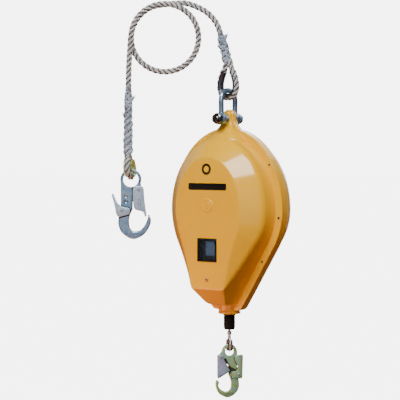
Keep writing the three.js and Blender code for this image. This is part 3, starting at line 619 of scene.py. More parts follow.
def rod(radius, y0, y1, x=0.0, z=0.0, sides=32):
    return moved(lathe([(0, y0), (radius, y0), (radius, y1), (0, y1)], sides=sides), x, z)


def ball(radius, x, y, z):
    return moved(lathe([(a, y - b) for b, a in around(radius, np.linspace(0, pi, 24))],
                       sides=40), x, z)


def washer(inner, outer, y0, y1, ease, steps):
    profile = rounded([(inner, y0), (outer, y0), (outer, y1), (inner, y1)], ease, steps, True)
    return lathe([*profile, profile[0]])


# ------------------------------------------------------------------ rope lanyard
# in metres
ROPE_LAY, TUCK_LAY = 0.032, 0.037  # along for one turn
TUCK_OUT, TUCK_WAVE, TUCK_WANDER, TUCK_UNDER = 0.0060, 0.0011, 0.00035, 0.0022
TUCK_RADIUS, TUCK_SWELL = 0.0034, 0.0011
TAIL_ROOT, TAIL_OUT, TAIL_UP, TAIL_RADIUS = 0.0045, 0.0065, 0.009, 0.0024
YARNS, YARN_RADIUS = 10, 0.00034
BEFORE_CROTCH = 0.09  # share of a splice's length that its strands start before the crotch


def eye_route(radius, height):
    """An eye from crotch to crotch, round its bottom at the origin."""
    right = [(x * radius, 0, z * radius) for x, z in ((0.5, 0.134), (0.866, 0.5), (1, 1))]
    reach = height - radius
    right += [(0.94 * radius, 0, radius + 0.3 * reach),
              (0.62 * radius + 1, 0, radius + 0.62 * reach),
              (7.2, 0, height - 7), (6.4, 0, height - 0.5)]
    left = [(-x, y, z) for x, y, z in reversed(right)]
    return [*left, (0, 0, 0), *right]


def rope_route():
    """From the upper splice over the top, once round the loop and down to the lower splice."""
    route = [UPPER_SPLICE_END, (104.2, 0, -39.5), (97.5, 1.5, -26.5), (81.5, 4, -9.5),
             (61.5, 6, 1.6), (41, 7, 8.2), (20, 7.3, 7.9)]
    for step in range(21):
        a = radians(90 + 22.5 * step)
        route.append((LOOP_RADIUS * cos(a), LOOP_PITCH * (0.5 - step / 16),
                      ROPE_RADIUS - LOOP_RADIUS + LOOP_RADIUS * sin(a)))
    return route + [(-67.8, -9.8, -88), (-69.6, -9, -118), LOWER_SPLICE_START]


def add_lanyard():
    upper = world(UPPER_EYE, eye_route(UPPER_EYE_RADIUS, UPPER_EYE_HEIGHT))
    lower = world(LOWER_EYE, eye_route(LOWER_EYE_RADIUS, LOWER_EYE_HEIGHT))
    hanging = world(ROPE, rope_route())
    upper_end, lower_start = hanging[0], hanging[-1]
    crotch = np.array(SHACKLE @ Vector((0, 0, UPPER_CROTCH)))
    lower_crotch = np.array(ROPE @ Vector(LOWER_CROTCH))
    climb, drop = upper_end - crotch, lower_crotch - lower_start
    line = [*upper, *(crotch + climb * t for t in (0.24, 0.5, 0.75)), *hanging,
            *(lower_start + drop * t for t in (0.25, 0.5, 0.8)), *lower[::-1]]
    path = spline(line, 0.0011)
    rope = piece("lanyard_rope", laid(path, ROPE_RADIUS / 1000, 3, ROPE_LAY, 42), METRES, FIBRE,
                 "lanyard", "hanging_rope upper_eye_rope lower_eye_rope", 80)
    pieces = [add_splice("upper_splice", crotch, upper_end, 1.0, 5, 0.0),
              add_splice("lower_splice", lower_crotch, lower_start, 0.93, 11, 0.4),
              add_thimble("upper_thimble", UPPER_EYE, UPPER_EYE_RADIUS, UPPER_EYE_HEIGHT, DARK),
              add_thimble("lower_thimble", LOWER_EYE, LOWER_EYE_RADIUS, LOWER_EYE_HEIGHT,
                          CHROMATE)]
    length = float(norm(np.diff(path, axis=0), axis=1).sum())
    return rope, path, length, pieces


def add_splice(node, crotch, end, size, seed, crossing):
    """Tucked strands that cross over and under each other round the rope.

    From the share of its length named crossing on, the tucks come up to the surface.
    """
    rng = np.random.default_rng(seed)
    axis = evenly([crotch - (end - crotch) * BEFORE_CROTCH, end], 0.0008)
    _, normal, binormal = frames(axis)
    total = norm(end - crotch) * (1 + BEFORE_CROTCH)
    along = np.linspace(0, total, len(axis))
    share = along / total
    swell = np.interp(share, [0, 0.05, 0.13, 0.55, 0.85, 1], [0.3, 0.6, 1.02, 0.94, 0.8, 0.55])
    mixed = np.clip((share - crossing) / 0.3, 0, 1)
    wave = np.cos(pi * along / (TUCK_LAY / 6))
    parts, uvs, grooves = [], [], []
    for hand in (1, -1):
        for k in range(3):
            wander = np.interp(share, np.linspace(0, 1, 9), rng.normal(0, 1, 9))
            reach = TUCK_OUT * swell + hand * TUCK_WAVE * wave * mixed + TUCK_WANDER * wander
            if hand < 0:
                reach = reach - TUCK_UNDER * (1 - mixed)
            reach = reach * size
            angle = (2 * pi * k / 3 + hand * 2 * pi * along / TUCK_LAY + 0.3
                     + 0.12 * np.roll(wander, 40))
            centre = axis + reach[:, None] * (np.cos(angle)[:, None] * normal
                                              + np.sin(angle)[:, None] * binormal)
            spaced = evenly(centre, 0.0012)
            at = np.linspace(0, 1, len(spaced))
            full = TUCK_RADIUS
            if hand > 0:
                full = full + TUCK_SWELL * (1 - np.interp(at, share, mixed))
            full = full * size * (1 + 0.07 * np.interp(at, np.linspace(0, 1, 14),
                                                       rng.normal(0, 1, 14)))
            full = full * (0.55 + 0.45 * np.minimum(1, (1 - at) * 5))
            full = full * np.minimum(1, 0.35 + 6 * at)
            vertices, faces, uv, _ = laid(
                spaced, lambda t: float(np.interp(t, at, full)), 9, 0.05, 16, 0.05, -1.0)
            # painted shade: where a tuck passes under its neighbours its groove value rises, which
            # darkens it
            over = hand * wave * mixed + (1 - mixed) * hand
            under_shade = np.repeat(0.3 - 0.3 * np.interp(at, share, over), 16)
            parts.append((vertices, faces))
            uvs += uv
            grooves += list(np.clip(under_shade, 0, 0.62))
    for vertices, faces, uv, _ in tails(axis, normal, binormal, size, rng):
        parts.append((vertices, faces))
        uvs += uv
        grooves += [0.1] * len(vertices)
    return piece(f"{node}_tucks", (*merged(*parts), uvs, grooves), METRES, TUCKS, "lanyard",
                 node, 80)


def tails(axis, normal, binormal, size, rng):
    """Cut strand ends that stand out of the splice, with loose yarns."""
    out = []
    for share, angle in ((0.93, 2.6), (0.78, 4.3), (0.66, 2.2), (0.55, 0.4), (0.86, 5.6)):
        i = int(share * (len(axis) - 1))
        side = cos(angle) * normal[i] + sin(angle) * binormal[i]
        up = axis[min(i + 5, len(axis) - 1)] - axis[i - 5]
        up /= norm(up)
        base = axis[i] + side * TAIL_ROOT * size
        tip = base + side * TAIL_OUT + up * TAIL_UP
        stub = spline([base - up * 0.006, base, base + side * 0.003 + up * 0.003, tip], 0.0009)
        out.append(laid(stub, lambda t: TAIL_RADIUS * size * (1 + 0.25 * t), 5, 0.03, 14, 0.2))
        for _ in range(YARNS):
            spread = rng.normal(0, 0.0022, 3)
            start = tip - up * 0.001 + spread * 0.35
            end = tip + side * rng.uniform(0.001, 0.004) + up * rng.uniform(0.001, 0.004) + spread
            yarn = spline([start, (start + end) / 2 + rng.normal(0, 0.0005, 3), end], 0.0009)
            out.append(laid(yarn, lambda t: YARN_RADIUS * (1.15 - t), 3, 0.02, 6))
    return out


def add_thimble(node, place, radius, height, material):
    """A channel round the inside of a rope eye, open below its crotch."""
    back = place.inverted()
    kept = [p for p in spline(world(place, eye_route(radius, height)), 0.001)
            if (back @ Vector(p)).z < 0.8 * height]
    part = channel(kept, place.to_3x3() @ Vector((0, 1, 0)), (0.0080, 70, 21), (0.0063, 74, 21),
                   [(0.0021, 0.0091), (0.0013, 0.0088)])
    return piece(f"{node}_channel", part, METRES, material, "lanyard", node, 45)


rope, rope_path, rope_length, rope_pieces = add_lanyard()


# ------------------------------------------------------------------ shackle
EYE_BORE, EYE_OUTER, BOLT_RADIUS = 6.3, 11.5, 6
WASHER, NUT_ACROSS, NUT_HEIGHT, THREAD_PITCH, THREADS = 1.7, 19, 10, 1.1, 12


def add_shackle():
    leg_top, corner = BOW_TOP - BOW_CORNER, BOW_HALF - BOW_CORNER
    line = [(0, BOW_HALF, 4), (0, BOW_HALF, 12), (0, BOW_HALF, leg_top / 2)]
    line += [(0, corner + BOW_CORNER * cos(a), leg_top + BOW_CORNER * sin(a))
             for a in np.radians([0, 30, 60, 90])]
    line += [(x, -y, z) for x, y, z in reversed(line)]
    bow = combine(tube(spline(line, 1.2), BOW_ROD, 28),
                  [rod(11.3, s * BOW_HALF - 8, s * BOW_HALF + 8) for s in (-1, 1)])
    eyes = [washer(EYE_BORE, EYE_OUTER, s * BOW_HALF - BOW_ROD, s * BOW_HALF + BOW_ROD, 1.6, 5)
            for s in (-1, 1)]
    bow = soften(combine(weld(bow, 1e-4), eyes, "UNION"), 0.55, 7)
    piece("shackle_bow_forged", bow, SHACKLE, ZINC, "shackle", "shackle_bow", 60)

    outside = BOW_HALF + BOW_ROD + GAP
    for name, y0, y1 in (("front", -outside - WASHER, -outside),
                         ("rear", outside, outside + WASHER)):
        piece(f"washer_{name}", washer(EYE_BORE, EYE_OUTER, y0, y1, 0.4, 3), SHACKLE, ZINC,
              "shackle", f"shackle_washer_{name}")
    bearing = outside + WASHER + GAP  # where nut and head start
    nut = hexagon_nut(-bearing - NUT_HEIGHT, -bearing, EYE_BORE)
    piece("shackle_nut_turned", nut, SHACKLE, CHROME, "shackle", "shackle_nut")
    start = -bearing - NUT_HEIGHT - 3
    profile = [(0, start), (4.6, start)]
    for i in range(THREADS):
        y = start + i * THREAD_PITCH
        profile += [(5.6, y), (6.0, y + 0.35), (6.0, y + 0.6), (5.6, y + 0.95)]
    profile += [(BOLT_RADIUS, 2 - bearing), (BOLT_RADIUS, bearing + 0.2), (0, bearing + 0.2)]
    head = hexagon_nut(bearing, bearing + 7, 0)
    piece("shackle_bolt_turned", merged(lathe(profile, sides=48), parts_of(head)), SHACKLE,
          CHROME, "shackle", "shackle_bolt")


def hexagon_nut(y0, y1, bore):
    """A nut or head whose corners are turned away at both ends."""
    flat = NUT_ACROSS / 2
    corner = NUT_ACROSS / sqrt(3)
    prism = slab_mesh([around(corner, [radians(60 * i + 30) for i in range(6)])], y0, y1, 0.15, 1)
    ease = corner - flat
    turned = lathe([(0, y0 - 0.1), (flat - 0.4, y0 - 0.1), (corner + 0.2, y0 + ease),
                    (corner + 0.2, y1 - ease), (flat - 0.4, y1 + 0.1), (0, y1 + 0.1)], sides=72)
    mesh = combine(prism, [turned], "INTERSECT")
    return combine(mesh, [rod(bore, y0 - 1, y1 + 1)]) if bore else mesh


def soften(mesh, voxel, rounds):
    """Even quads over a mesh in millimetres, with its edges worn round."""
    obj = linked("soft", mesh)
    remesh = obj.modifiers.new("even", "REMESH")
    remesh.mode, remesh.voxel_size = "VOXEL", voxel
    smooth = obj.modifiers.new("worn", "SMOOTH")
    smooth.factor, smooth.iterations = 0.5, rounds
    return evaluated(obj)


add_shackle()


# ------------------------------------------------------------------ housing
FLANGE_HALF, FLANGE_RISE, WIDEST = 132, 157, -175  # the flange's upper half is half an oval
LOWER_ARC, TAPER, TAPER_END = 136.5, 32, (55.3, -337)
FLANGE_DEPTH, WALL_INSET, CREASE_INSET = 10.5, 15, 19
FACE_BOTTOM, WALL = -327, 3
# A shell has levels, which are outlines at an inset from the flange's edge and a depth from the
# middle plane. Some of these change with the drop, from 0 at the widest point to 1 at the bottom.
SEAM = 0.15  # depth of each half's first face
FLANGE_CORNER, WALL_CORNER = (33, -372, None), (25, -362, None)  # x, z, fixed depth
LUG_BORE = 8.4
WINDOW, PRINTED_BAR = (-23.5, 23.5, -274.5, -229.5), (-45, 46, -137, -124)  # sides, low and top
PRINTED_RING, FACE_SCREW = (-1.5, -97), -308.5
LUG_FOOT = (40, -33), (44, -37.5), (47, -42), (48, -50)  # half width and height, in the shell
FLANGE_SCREWS = (102.1, -88.5), (124.2, -189.2), (86.2, -274.3)
FRONT = {
    "crease_inset": CREASE_INSET,
    "crease_depth": lambda drop: 41 + 30 * drop * drop,
    "slope": lambda drop: max(36.5 * (1 - drop * drop), 1.5),
    "bottom": (FLANGE_CORNER, WALL_CORNER, (22, -360, 42), (37, FACE_BOTTOM, FACE_DEPTH)),
    "face_inner": (30.6, FACE_BOTTOM + 4.4, FACE_DEPTH),
    "crease_ease": 7.0,
}
REAR = {
    "crease_inset": 15.5,
    "crease_depth": lambda drop: 46 - 12 * drop,
    "slope": lambda drop: 40 - 15 * drop,
    "bottom": (FLANGE_CORNER, WALL_CORNER, (22, -360, 33), (16, -334, FACE_DEPTH)),
    "face_inner": (10, -328, FACE_DEPTH),
    "crease_ease": 12.0,
}


def stations():
    """(x, z, outward x, outward z, drop) round the right half, from top to bottom corner."""
    out = []

    def push(x, z, nx, nz):
        drop = (z + CREASE_INSET / 2 - WIDEST + 5) / (FACE_BOTTOM - WIDEST + 5)
        out.append((x, z, nx, nz, min(max(drop, 0.0), 1.0)))

    for i in range(44):
        a = radians(90 - 90 * i / 44)
        n = Vector((cos(a) / FLANGE_HALF, sin(a) / FLANGE_RISE)).normalized()
        push(FLANGE_HALF * cos(a), WIDEST + FLANGE_RISE * sin(a), *n)
    for i in range(21):
        a = radians(TAPER * i / 20)
        push(FLANGE_HALF - LOWER_ARC * (1 - cos(a)), WIDEST - LOWER_ARC * sin(a),
             cos(a), -sin(a))
    x, z, nx, nz, _ = out[-1]
    for i in range(1, 15):
        push(x + (TAPER_END[0] - x) * i / 14, z + (TAPER_END[1] - z) * i / 14, nx, nz)
    return out


def level(inset, depth, bottom, ease):
    """A closed outline at one level, with its two lower corners eased."""
    half, low, low_depth = bottom
    right = []
    for x, z, nx, nz, drop in stations():
        i = sized(inset, drop)
        right.append(np.array([x - nx * i, -sized(depth, drop), z - nz * i]))
    corner = np.array([half, -(sized(depth, 1.0) if low_depth is None else low_depth), low])
    before, after = right[-1] - corner, np.array([-half, 0, 0])
    right += eased(corner, before / norm(before) * min(ease, 0.45 * norm(before)),
                   after / norm(after) * min(ease, 0.6 * half), 7)
    left = [p * np.array([-1, 1, 1]) for p in reversed(right[1:])]
    return [*right, *left]


def shell_skin(form):
    """The whole skin of a front-facing shell: outside, seam and hollow inside."""
    ci, cd, slope = form["crease_inset"], form["crease_depth"], form["slope"]
    flange, wall, crease, face = form["bottom"]

    def between(t):
        return [flange[i] + (wall[i] - flange[i]) * t for i in (0, 1)] + [None]

    # inset, depth, lower corner, ease of the two lower corners, ease of the edge itself
    levels = [
        (0.9, SEAM, flange, 9, 0),
        (0.0, SEAM, flange, 9, 0.6),
        (0.0, FLANGE_DEPTH, flange, 9, 1.8),
        (12.2, FLANGE_DEPTH, between(0.8), 7, 0.3),
        (12.8, FLANGE_DEPTH - 1.1, between(0.85), 7, 0.3),
        (14.2, FLANGE_DEPTH - 1.1, between(0.95), 7, 0.3),
        (WALL_INSET + 0.2, FLANGE_DEPTH + 1, wall, 7, 1.2),
        (ci, cd, crease, 7, form["crease_ease"]),
        (lambda d: ci + slope(d), FACE_DEPTH, face, 5, 3.0),
        (lambda d: ci + slope(d) + 8, FACE_DEPTH, form["face_inner"], 4, 0),
    ]
    grid = [level(*row[:4]) for row in levels]
    radii = [row[4] for row in levels]
    columns = [rounded([row[j] for row in grid], radii, 7) for j in range(len(grid[0]))]
    outside = [[column[k] for column in columns] for k in range(len(columns[0]))]
    seam = (wall[0] - 2, wall[1] + WALL, None)
    inside = [
        level(WALL_INSET + WALL, SEAM, seam, 5),
        level(WALL_INSET + WALL, FLANGE_DEPTH, seam, 5),
        level(ci + WALL, lambda d: cd(d) - WALL,
              (crease[0] - 2, crease[1] + WALL, crease[2] - WALL), 5),
        level(lambda d: ci + slope(d) + WALL, FACE_DEPTH - WALL,
              (face[0] - 2, face[1] + WALL, FACE_DEPTH - WALL), 4),
    ]
    return skin([*reversed(outside), *inside])


def bell(offset=0.0):
    """Right half of the lug's outline, from the top down to the foot: (half width, height)."""
    line = []
    for p0, p1, p2, p3, count in (((0, 18), (6, 18), (11.5, 14), (12, 4), 16),
                                  ((12, 4), (14, -14), (24, -20), (38, -28), 18)):
        line += [tuple((1 - t) ** 3 * a + 3 * (1 - t) ** 2 * t * b + 3 * (1 - t) * t * t * c
                       + t ** 3 * d for a, b, c, d in zip(p0, p1, p2, p3))
                 for t in np.linspace(0, 1, count)][1 if line else 0:]
    line = np.array(line)
    direction = np.gradient(line, axis=0)
    direction /= norm(direction, axis=1)[:, None]
    return line + np.stack([-direction[:, 1], direction[:, 0]], axis=1) * offset


def lug_parts():
    """The front half of the lug: a core that flares into the shell, and the seam's rib."""
    rings = []
    for width, height in [*bell(-2.0), *LUG_FOOT]:
        flare = min(max((-4 - height) / 34, 0.0), 1.0)
        top = min(max((height - 12.5) / 3.6, 0.0), 1.0)
        depth = 11.5 + 29 * flare ** 1.7 - 3.0 * (1 - sqrt(1 - top ** 2 * 0.98))
        power = 2 / (6.5 - 4.3 * min(flare * 1.5, 1.0))  # from a square section to a round one
        width = max(width, 0.15)
        rings.append([(width * copysign(abs(cos(a)) ** power, cos(a)),
                       -SEAM - (depth - SEAM) * sin(a) ** power, height)
                      for a in np.linspace(0, pi, 41)])
    outline = bell()
    points = evenly([(-x, 0, z) for x, z in outline[::-1]] + [(x, 0, z) for x, z in outline[1:]],
                    1.4)
    section = rounded([(0.0, -SEAM), (0.0, -4.8), (-4.0, -4.8), (-4.0, -SEAM)],
                      [0.5, 1.3, 0, 0], 4, closed=True)
    _, normal, _ = frames(points, (0, 1, 0))
    out = 1 if normal[len(points) // 2][2] > 0 else -1
    rib = [[p + out * a * normal[i] + np.array([0, b, 0]) for a, b in section]
           for i, p in enumerate(points)]
    return skin(rings), skin(rib)


def neck_part():
    profile = rounded([(12.5, -379.8), (21.8, -379.8), (21.8, -374.6), (20.9, -374.0),
                       (20.9, -372.8), (21.8, -372.2), (21.8, -350), (12.5, -350)],
                      [0, 1.6, 0.4, 0.2, 0.2, 0.4, 0, 0], 5, closed=True)
    return lathe(profile, "Z", 96, pi + 0.007, 2 * pi - 0.007)


def box_loop(x0, x1, z0, z1, ease, steps):
    return rounded([(x0, z0), (x1, z0), (x1, z1), (x0, z1)], ease, steps, closed=True)


def add_housing():
    window = slab_mesh([box_loop(*WINDOW, 1.2, 4)], -80, -60, 0.01, 0)
    core, rib = lug_parts()
    core = parts_of(combine(core, [rod(LUG_BORE, -30, 30)]))
    for name, mesh, side in (
            ("front_shell", combine(shell_skin(FRONT), [window]), 1),
            ("rear_shell", raw_mesh(shell_skin(REAR)), -1)):
        vertices, faces = merged(parts_of(mesh), core, rib, neck_part())
        piece(f"{name}_cast", ([(x, y * side, z) for x, y, z in vertices], faces), HOUSING,
              PAINT, "housing", name, 30)


def add_housing_trim():
    screw = lathe(rounded([(0, -12.0), (1.2, -12.0), (1.2, -11.4), (1.6, -11.4), (1.9, -11.6),
                           (2.4, -10.9), (2.4, 10.8), (4.6, 10.8), (4.6, 13.0), (3.4, 14.0),
                           (0, 14.0)], [0, 0, 0, 0, 0.3, 0.2, 0, 0.2, 0.5, 0.6, 0], 3))
    head = lathe(rounded([(0, -73.6), (1.0, -73.6), (1.4, -74.4), (2.6, -74.5), (3.9, -73.4),
                          (3.9, -72.2), (2.1, -72.2), (2.1, -60), (0, -60)],
                         [0, 0.3, 0.4, 0.8, 0.5, 0, 0, 0, 0], 4))
    cap = lathe(rounded([(0, -73.3), (7.4, -73.4), (7.9, -72.9), (8.9, -72.9), (9.4, -73.4),
                         (12.4, -73.2), (13.6, -72.05), (0, -72.05)],
                        [0, 0.3, 0.2, 0.2, 0.3, 0.9, 0, 0], 4), sides=96)
    bush = lathe(rounded([(3.4, -383.5), (12.2, -383.5), (12.2, -366), (3.4, -366)],
                         [0.8, 1.2, 0.4, 0.4], 4, True), "Z")
    spots = [(side * x, z) for x, z in FLANGE_SCREWS for side in (1, -1)]
    for node, how, part, material, slot in (
            *((f"flange_screw_{i}", "turned", moved(screw, *spot), DARK, "steel")
              for i, spot in enumerate(spots, 1)),
            ("face_screw", "turned", moved(head, z=FACE_SCREW), BRONZE, "steel"),
            ("shaft_cap", "pressed", moved(cap, z=SHAFT_HEIGHT), PAINT, "housing_paint"),
            ("nozzle_bush", "moulded", bush, PLASTIC, "black_plastic")):
        piece(f"{node}_{how}", part, HOUSING, material, "housing", node)
    for name, loops in (
            ("printed_ring", [circle(*PRINTED_RING, 11, 64), circle(*PRINTED_RING, 6.2)]),
            ("printed_bar", [box_loop(*PRINTED_BAR, 3, 5)])):
        piece(name, slab_mesh(loops, -72.16, -71.9, 0.02, 0), HOUSING, INK, "housing")


def add_window_frame():
    """The CAD frame again, with its edges eased."""
    obj = linked("window_frame_eased", frame["nodes"]["window_frame"].data.copy())
    obj.modifiers.new("weld", "WELD").merge_threshold = 5e-6
    bevel = obj.modifiers.new("ease", "BEVEL")
    bevel.width, bevel.segments, bevel.limit_method = 0.0004, 2, "ANGLE"
    bevel.angle_limit = radians(32)
    piece("window_frame_eased", evaluated(obj), METRES, PLASTIC, "housing", "window_frame",
          40)


add_housing()
add_housing_trim()
add_window_frame()


# ------------------------------------------------------------------ line end
LINE_TOP, LINE_BOTTOM, LINE_TRAVEL = -364.0, -414.0, 470
LINE_STEPS, LINE_SIDES, LINE_LAY = 300, 36, 35


def add_line_end():
    bumper = lathe(rounded([(2.8, -384.2), (11.2, -384.2), (11.2, -390.5), (10.8, -391),
                            (11.2, -391.5), (11.2, -407), (9.6, -411), (2.8, -411)],
                           [0.3, 1.0, 0.4, 0.3, 0.4, 1.5, 1.2, 0.3], 5, True), "Z", 72)
    piece("bumper_moulded", bumper, HOUSING, RUBBER, "line_end", "bumper")
    ferrule = [[(6.5 * size * cos(a), 4.2 * size * sin(a), z) for a in whole_turn(48)]
               for z, size in (
                   (-414.3, 0.86), (-414.6, 0.97), (-415.4, 1.0), (-416.6, 1.0), (-417.0, 0.95),
                   (-417.5, 0.95), (-417.9, 1.0), (-419.9, 1.0), (-420.7, 0.97),
                   (FERRULE_BOTTOM, 0.86))]
    piece("ferrule_pressed", skin(ferrule), LINE_EYE, ZINC, "line_end", "ferrule",
          50)
    top = FERRULE_BOTTOM - 3 * GAP
    half = [(2.9, 0, top + 0.5), (3.6, 0, top - 3), (7.2, 0, top - 12), (9, 0, top - 20),
            (6.6, 0, WIRE_EYE_BOTTOM + 2.6)]
    route = [*half, (0, 0, WIRE_EYE_BOTTOM), *((-x, y, z) for x, y, z in reversed(half))]
    wire = laid(spline(world(LINE_EYE, route), 0.0005), WIRE_RADIUS / 1000, 6, 0.028, 48, 0.64)
    piece("wire_eye_stranded", wire, METRES, WIRE, "line_end", "wire_eye", 80)
    kept = [p for p in spline(route, 0.6) if p[2] < FERRULE_BOTTOM - 10]
    thimble = channel(kept, (0, 1, 0), (4.1, 95, 17), (2.8, 95, 17), [(-0.6, 4.9), (-1.3, 4.3)])
    piece("wire_thimble_channel", thimble, LINE_EYE, DARK, "line_end", "wire_thimble",
          45)


def add_lifeline():
    """The line from nozzle to bumper, which stretches between them.

    Its strands are wound close at rest, so that they have their real lay when it is out.
    """
    share = np.linspace(0, 1, LINE_STEPS + 1)
    heights = LINE_TOP + (LINE_BOTTOM - LINE_TOP) * share
    out = (LINE_TOP - heights) + LINE_TRAVEL * (share * share * (3 - 2 * share))
    points = world(HOUSING, [(0, 0, z) for z in heights])
    rings = []
    for p, along in zip(points, out):
        ring = []
        for j in range(LINE_SIDES):
            a = 2 * pi * j / LINE_SIDES
            reach = lobe(0.0016, 0.0009, (a - 2 * pi * along / LINE_LAY) % (pi / 3) - pi / 6)
            ring.append((p[0] + reach * cos(a), p[1] + reach * sin(a), p[2]))
        rings.append(ring)
    line = piece("lifeline_stranded", skin(rings), METRES, WIRE, None, "", 80)
    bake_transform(line)
    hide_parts("lifeline_wire")


add_line_end()
add_lifeline()


# ------------------------------------------------------------------ hooks
# In millimetres from the ring's middle. The points are at the large hook's size, and scaled by
# "size"; "outer" and "inner" of the ring and the half "depth" of the body are as they are.
LARGE = {
    "prefix": "anchor", "size": 1.0, "side": 1, "outer": 20.5, "inner": LARGE_RING, "depth": 6,
    "gate_pin": (15.2, -19.4), "lever_pin": (-17.5, -60.5),
    "shoulder": [(11, -25), (20, -20), (19.5, -4), (10, 6)],
    "nose": [(36.5, -91), (39, -78), (34.5, -68.5)], "foot": (32.2, -76.5),
    "gate": [(6, -13), (22, -13), (25, -18), (26.2, -40), (30.6, -71), (27.5, -73),
             (24.5, -63), (6.5, -58.5), (3.8, -40), (3.8, -18)],
    "gate_hollow": [(-2, -5), (22.2, -5), (22.8, -18), (24, -40), (26.8, -62), (22, -80),
                    (-2, -70)],
    "lever": [(-1.5, -56.5), (-2.5, -68), (-25, -73.5), (-29, -66), (-31, -52), (-37.5, -29),
              (-34.5, -27), (-28.5, -42), (-22, -52)],
    "lever_hollow": [(10, -40), (-21, -40), (-27.8, -57), (-26.4, -65), (-24.4, -80), (10, -80)],
    "gate_ease": [5, 6, 3, 0, 1, 1, 4, 5, 0, 5], "lever_ease": [4, 5, 6, 5, 0, 1.2, 1.2, 8, 6],
    "grooves": [([(-27, -75.2), (-3, -69.6), (-0.4, -66), (0.2, -57)], 1.3),
                ([(-23, -49.5), (-12, -53.5), (-2, -54.2)], 0.9),
                ([(3.2, -15), (3.2, -40), (4.5, -57)], 1.3)],
}
SMALL = {
    "prefix": "harness", "size": 0.775, "side": -1, "outer": 15, "inner": SMALL_RING, "depth": 4,
    "gate_pin": (22.1, -14.8), "lever_pin": (-24.4, -56.4),
    "shoulder": [(11, -30), (27, -20), (26.5, -8), (14, 8)],
    "nose": [(34, -92), (35.5, -80), (33.5, -71.5)], "foot": (25.5, -77.5),
    "gate": [(14.6, -8.5), (31, -8.5), (31, -64), (27.5, -68.5), (8.3, -56.4), (-1.8, -48.8),
             (14.6, -18)],
    "gate_hollow": [(-10, -2), (28.8, -2), (28.8, -64), (20, -80), (-10, -70)],
    "lever": [(-13, -11), (-34.5, -8.5), (-33.2, -64), (-30, -67.7), (-6.8, -67.7), (-4.3, -50),
              (-16.9, -48.3), (-21.9, -38.7), (-14, -21)],
    "lever_hollow": [(10, 0), (-32.2, 0), (-31, -63), (-28, -80), (10, -80)],
    "gate_ease": [5, 4, 3, 2, 6, 3, 5], "lever_ease": [1.5, 2, 3, 3, 5, 5, 5, 5, 4],
    "grooves": [([(11.6, -17.5), (-3.4, -46)], 2.2),
                ([(-12.2, -12), (-12.8, -21), (-20.4, -38.6), (-15.8, -47), (-4, -48.6),
                  (-4.6, -58), (-6, -69)], 0.8)],
}
PIN_RADIUS, SHEET_WALL = 2.2, 1.6  # at the large hook's size
DIMPLES = (6, -9.5, -10.3), (-33, -43)  # ball radius, x, y and the heights of two
RIBS = (14.5, -33, -52), (18.6, -33, -53)  # x, top and bottom


def through(points, count=10):
    """An even Catmull-Rom line through 2-D points, after the first one."""
    p = [np.array(q, float) for q in points]
    out = []
    for i in range(len(p) - 1):
        a, b, c, d = p[max(i - 1, 0)], p[i], p[i + 1], p[min(i + 2, len(p) - 1)]
        for t in np.linspace(0, 1, count + 1)[1:]:
            m0, m1 = (c - a) / 2, (d - b) / 2
            out.append((2 * b - 2 * c + m0 + m1) * t ** 3 + (-3 * b + 3 * c - 2 * m0 - m1) * t * t
                       + m0 * t + b)
    return out


def scaled(points, spec):
    k = spec["size"]
    return [(x * k * spec["side"], z * k) for x, z in points]


def hook_outline(spec):
    line = rounded([(-19.6, 0), (-19.6, -54), (-24, -72)], [0, 12, 0], 8)
    line += through([(-24, -72), (-24.2, -90), (-15.5, -106), (4, -116.4), (25, -107.5),
                     *spec["nose"]])
    line += through([spec["nose"][-1], spec["foot"], (28, -87), (21, -96.5), (13, -101)])
    line.append((4, -101))
    line += through([(4, -101), (-1.5, -94.5), (-3.6, -82), (-1.5, -69), (3.5, -58)])
    line += rounded([(3.5, -58), (3.5, -32), *spec["shoulder"], (-12, 8)],
                    [0, 5, 4, 5, 6, 0, 0], 6)[1:]
    return scaled(line, spec)


def forged_body(spec, spots):
    """The hook's body with its ring, pin holes, dimples and grooves; and the grooves' lines, along
    which painted shade darkens the faces.
    """
    depth = spec["depth"]
    body = slab_mesh([hook_outline(spec)], -depth, depth, 0.42 * depth, 4)
    body = combine(body, [rod(spec["inner"] + 0.5, -20, 20, sides=96)])
    half = depth * 0.65
    ring = slab_mesh([circle(0, 0, spec["outer"], 96), circle(0, 0, spec["inner"], 80)],
                     -half, half, 0.46 * half, 5)
    body = combine(body, [ring], "UNION")
    marks = [rod(PIN_RADIUS * spec["size"] + GAP, -20, 20, *spot) for spot in spots]
    if spec is LARGE:
        marks += [ball(*DIMPLES[0], z) for z in DIMPLES[1]]
    grooves = []
    for line, radius in spec["grooves"]:
        for face in (-1, 1):
            path = evenly([(x, face * depth, z) for x, z in scaled(line, spec)], 1.2)
            marks.append(tube(path, radius))
            # these lines mark where painted shade darkens the groove faces
            grooves.append((evenly(path, 0.4), radius * 1.06))
    return combine(body, marks), grooves


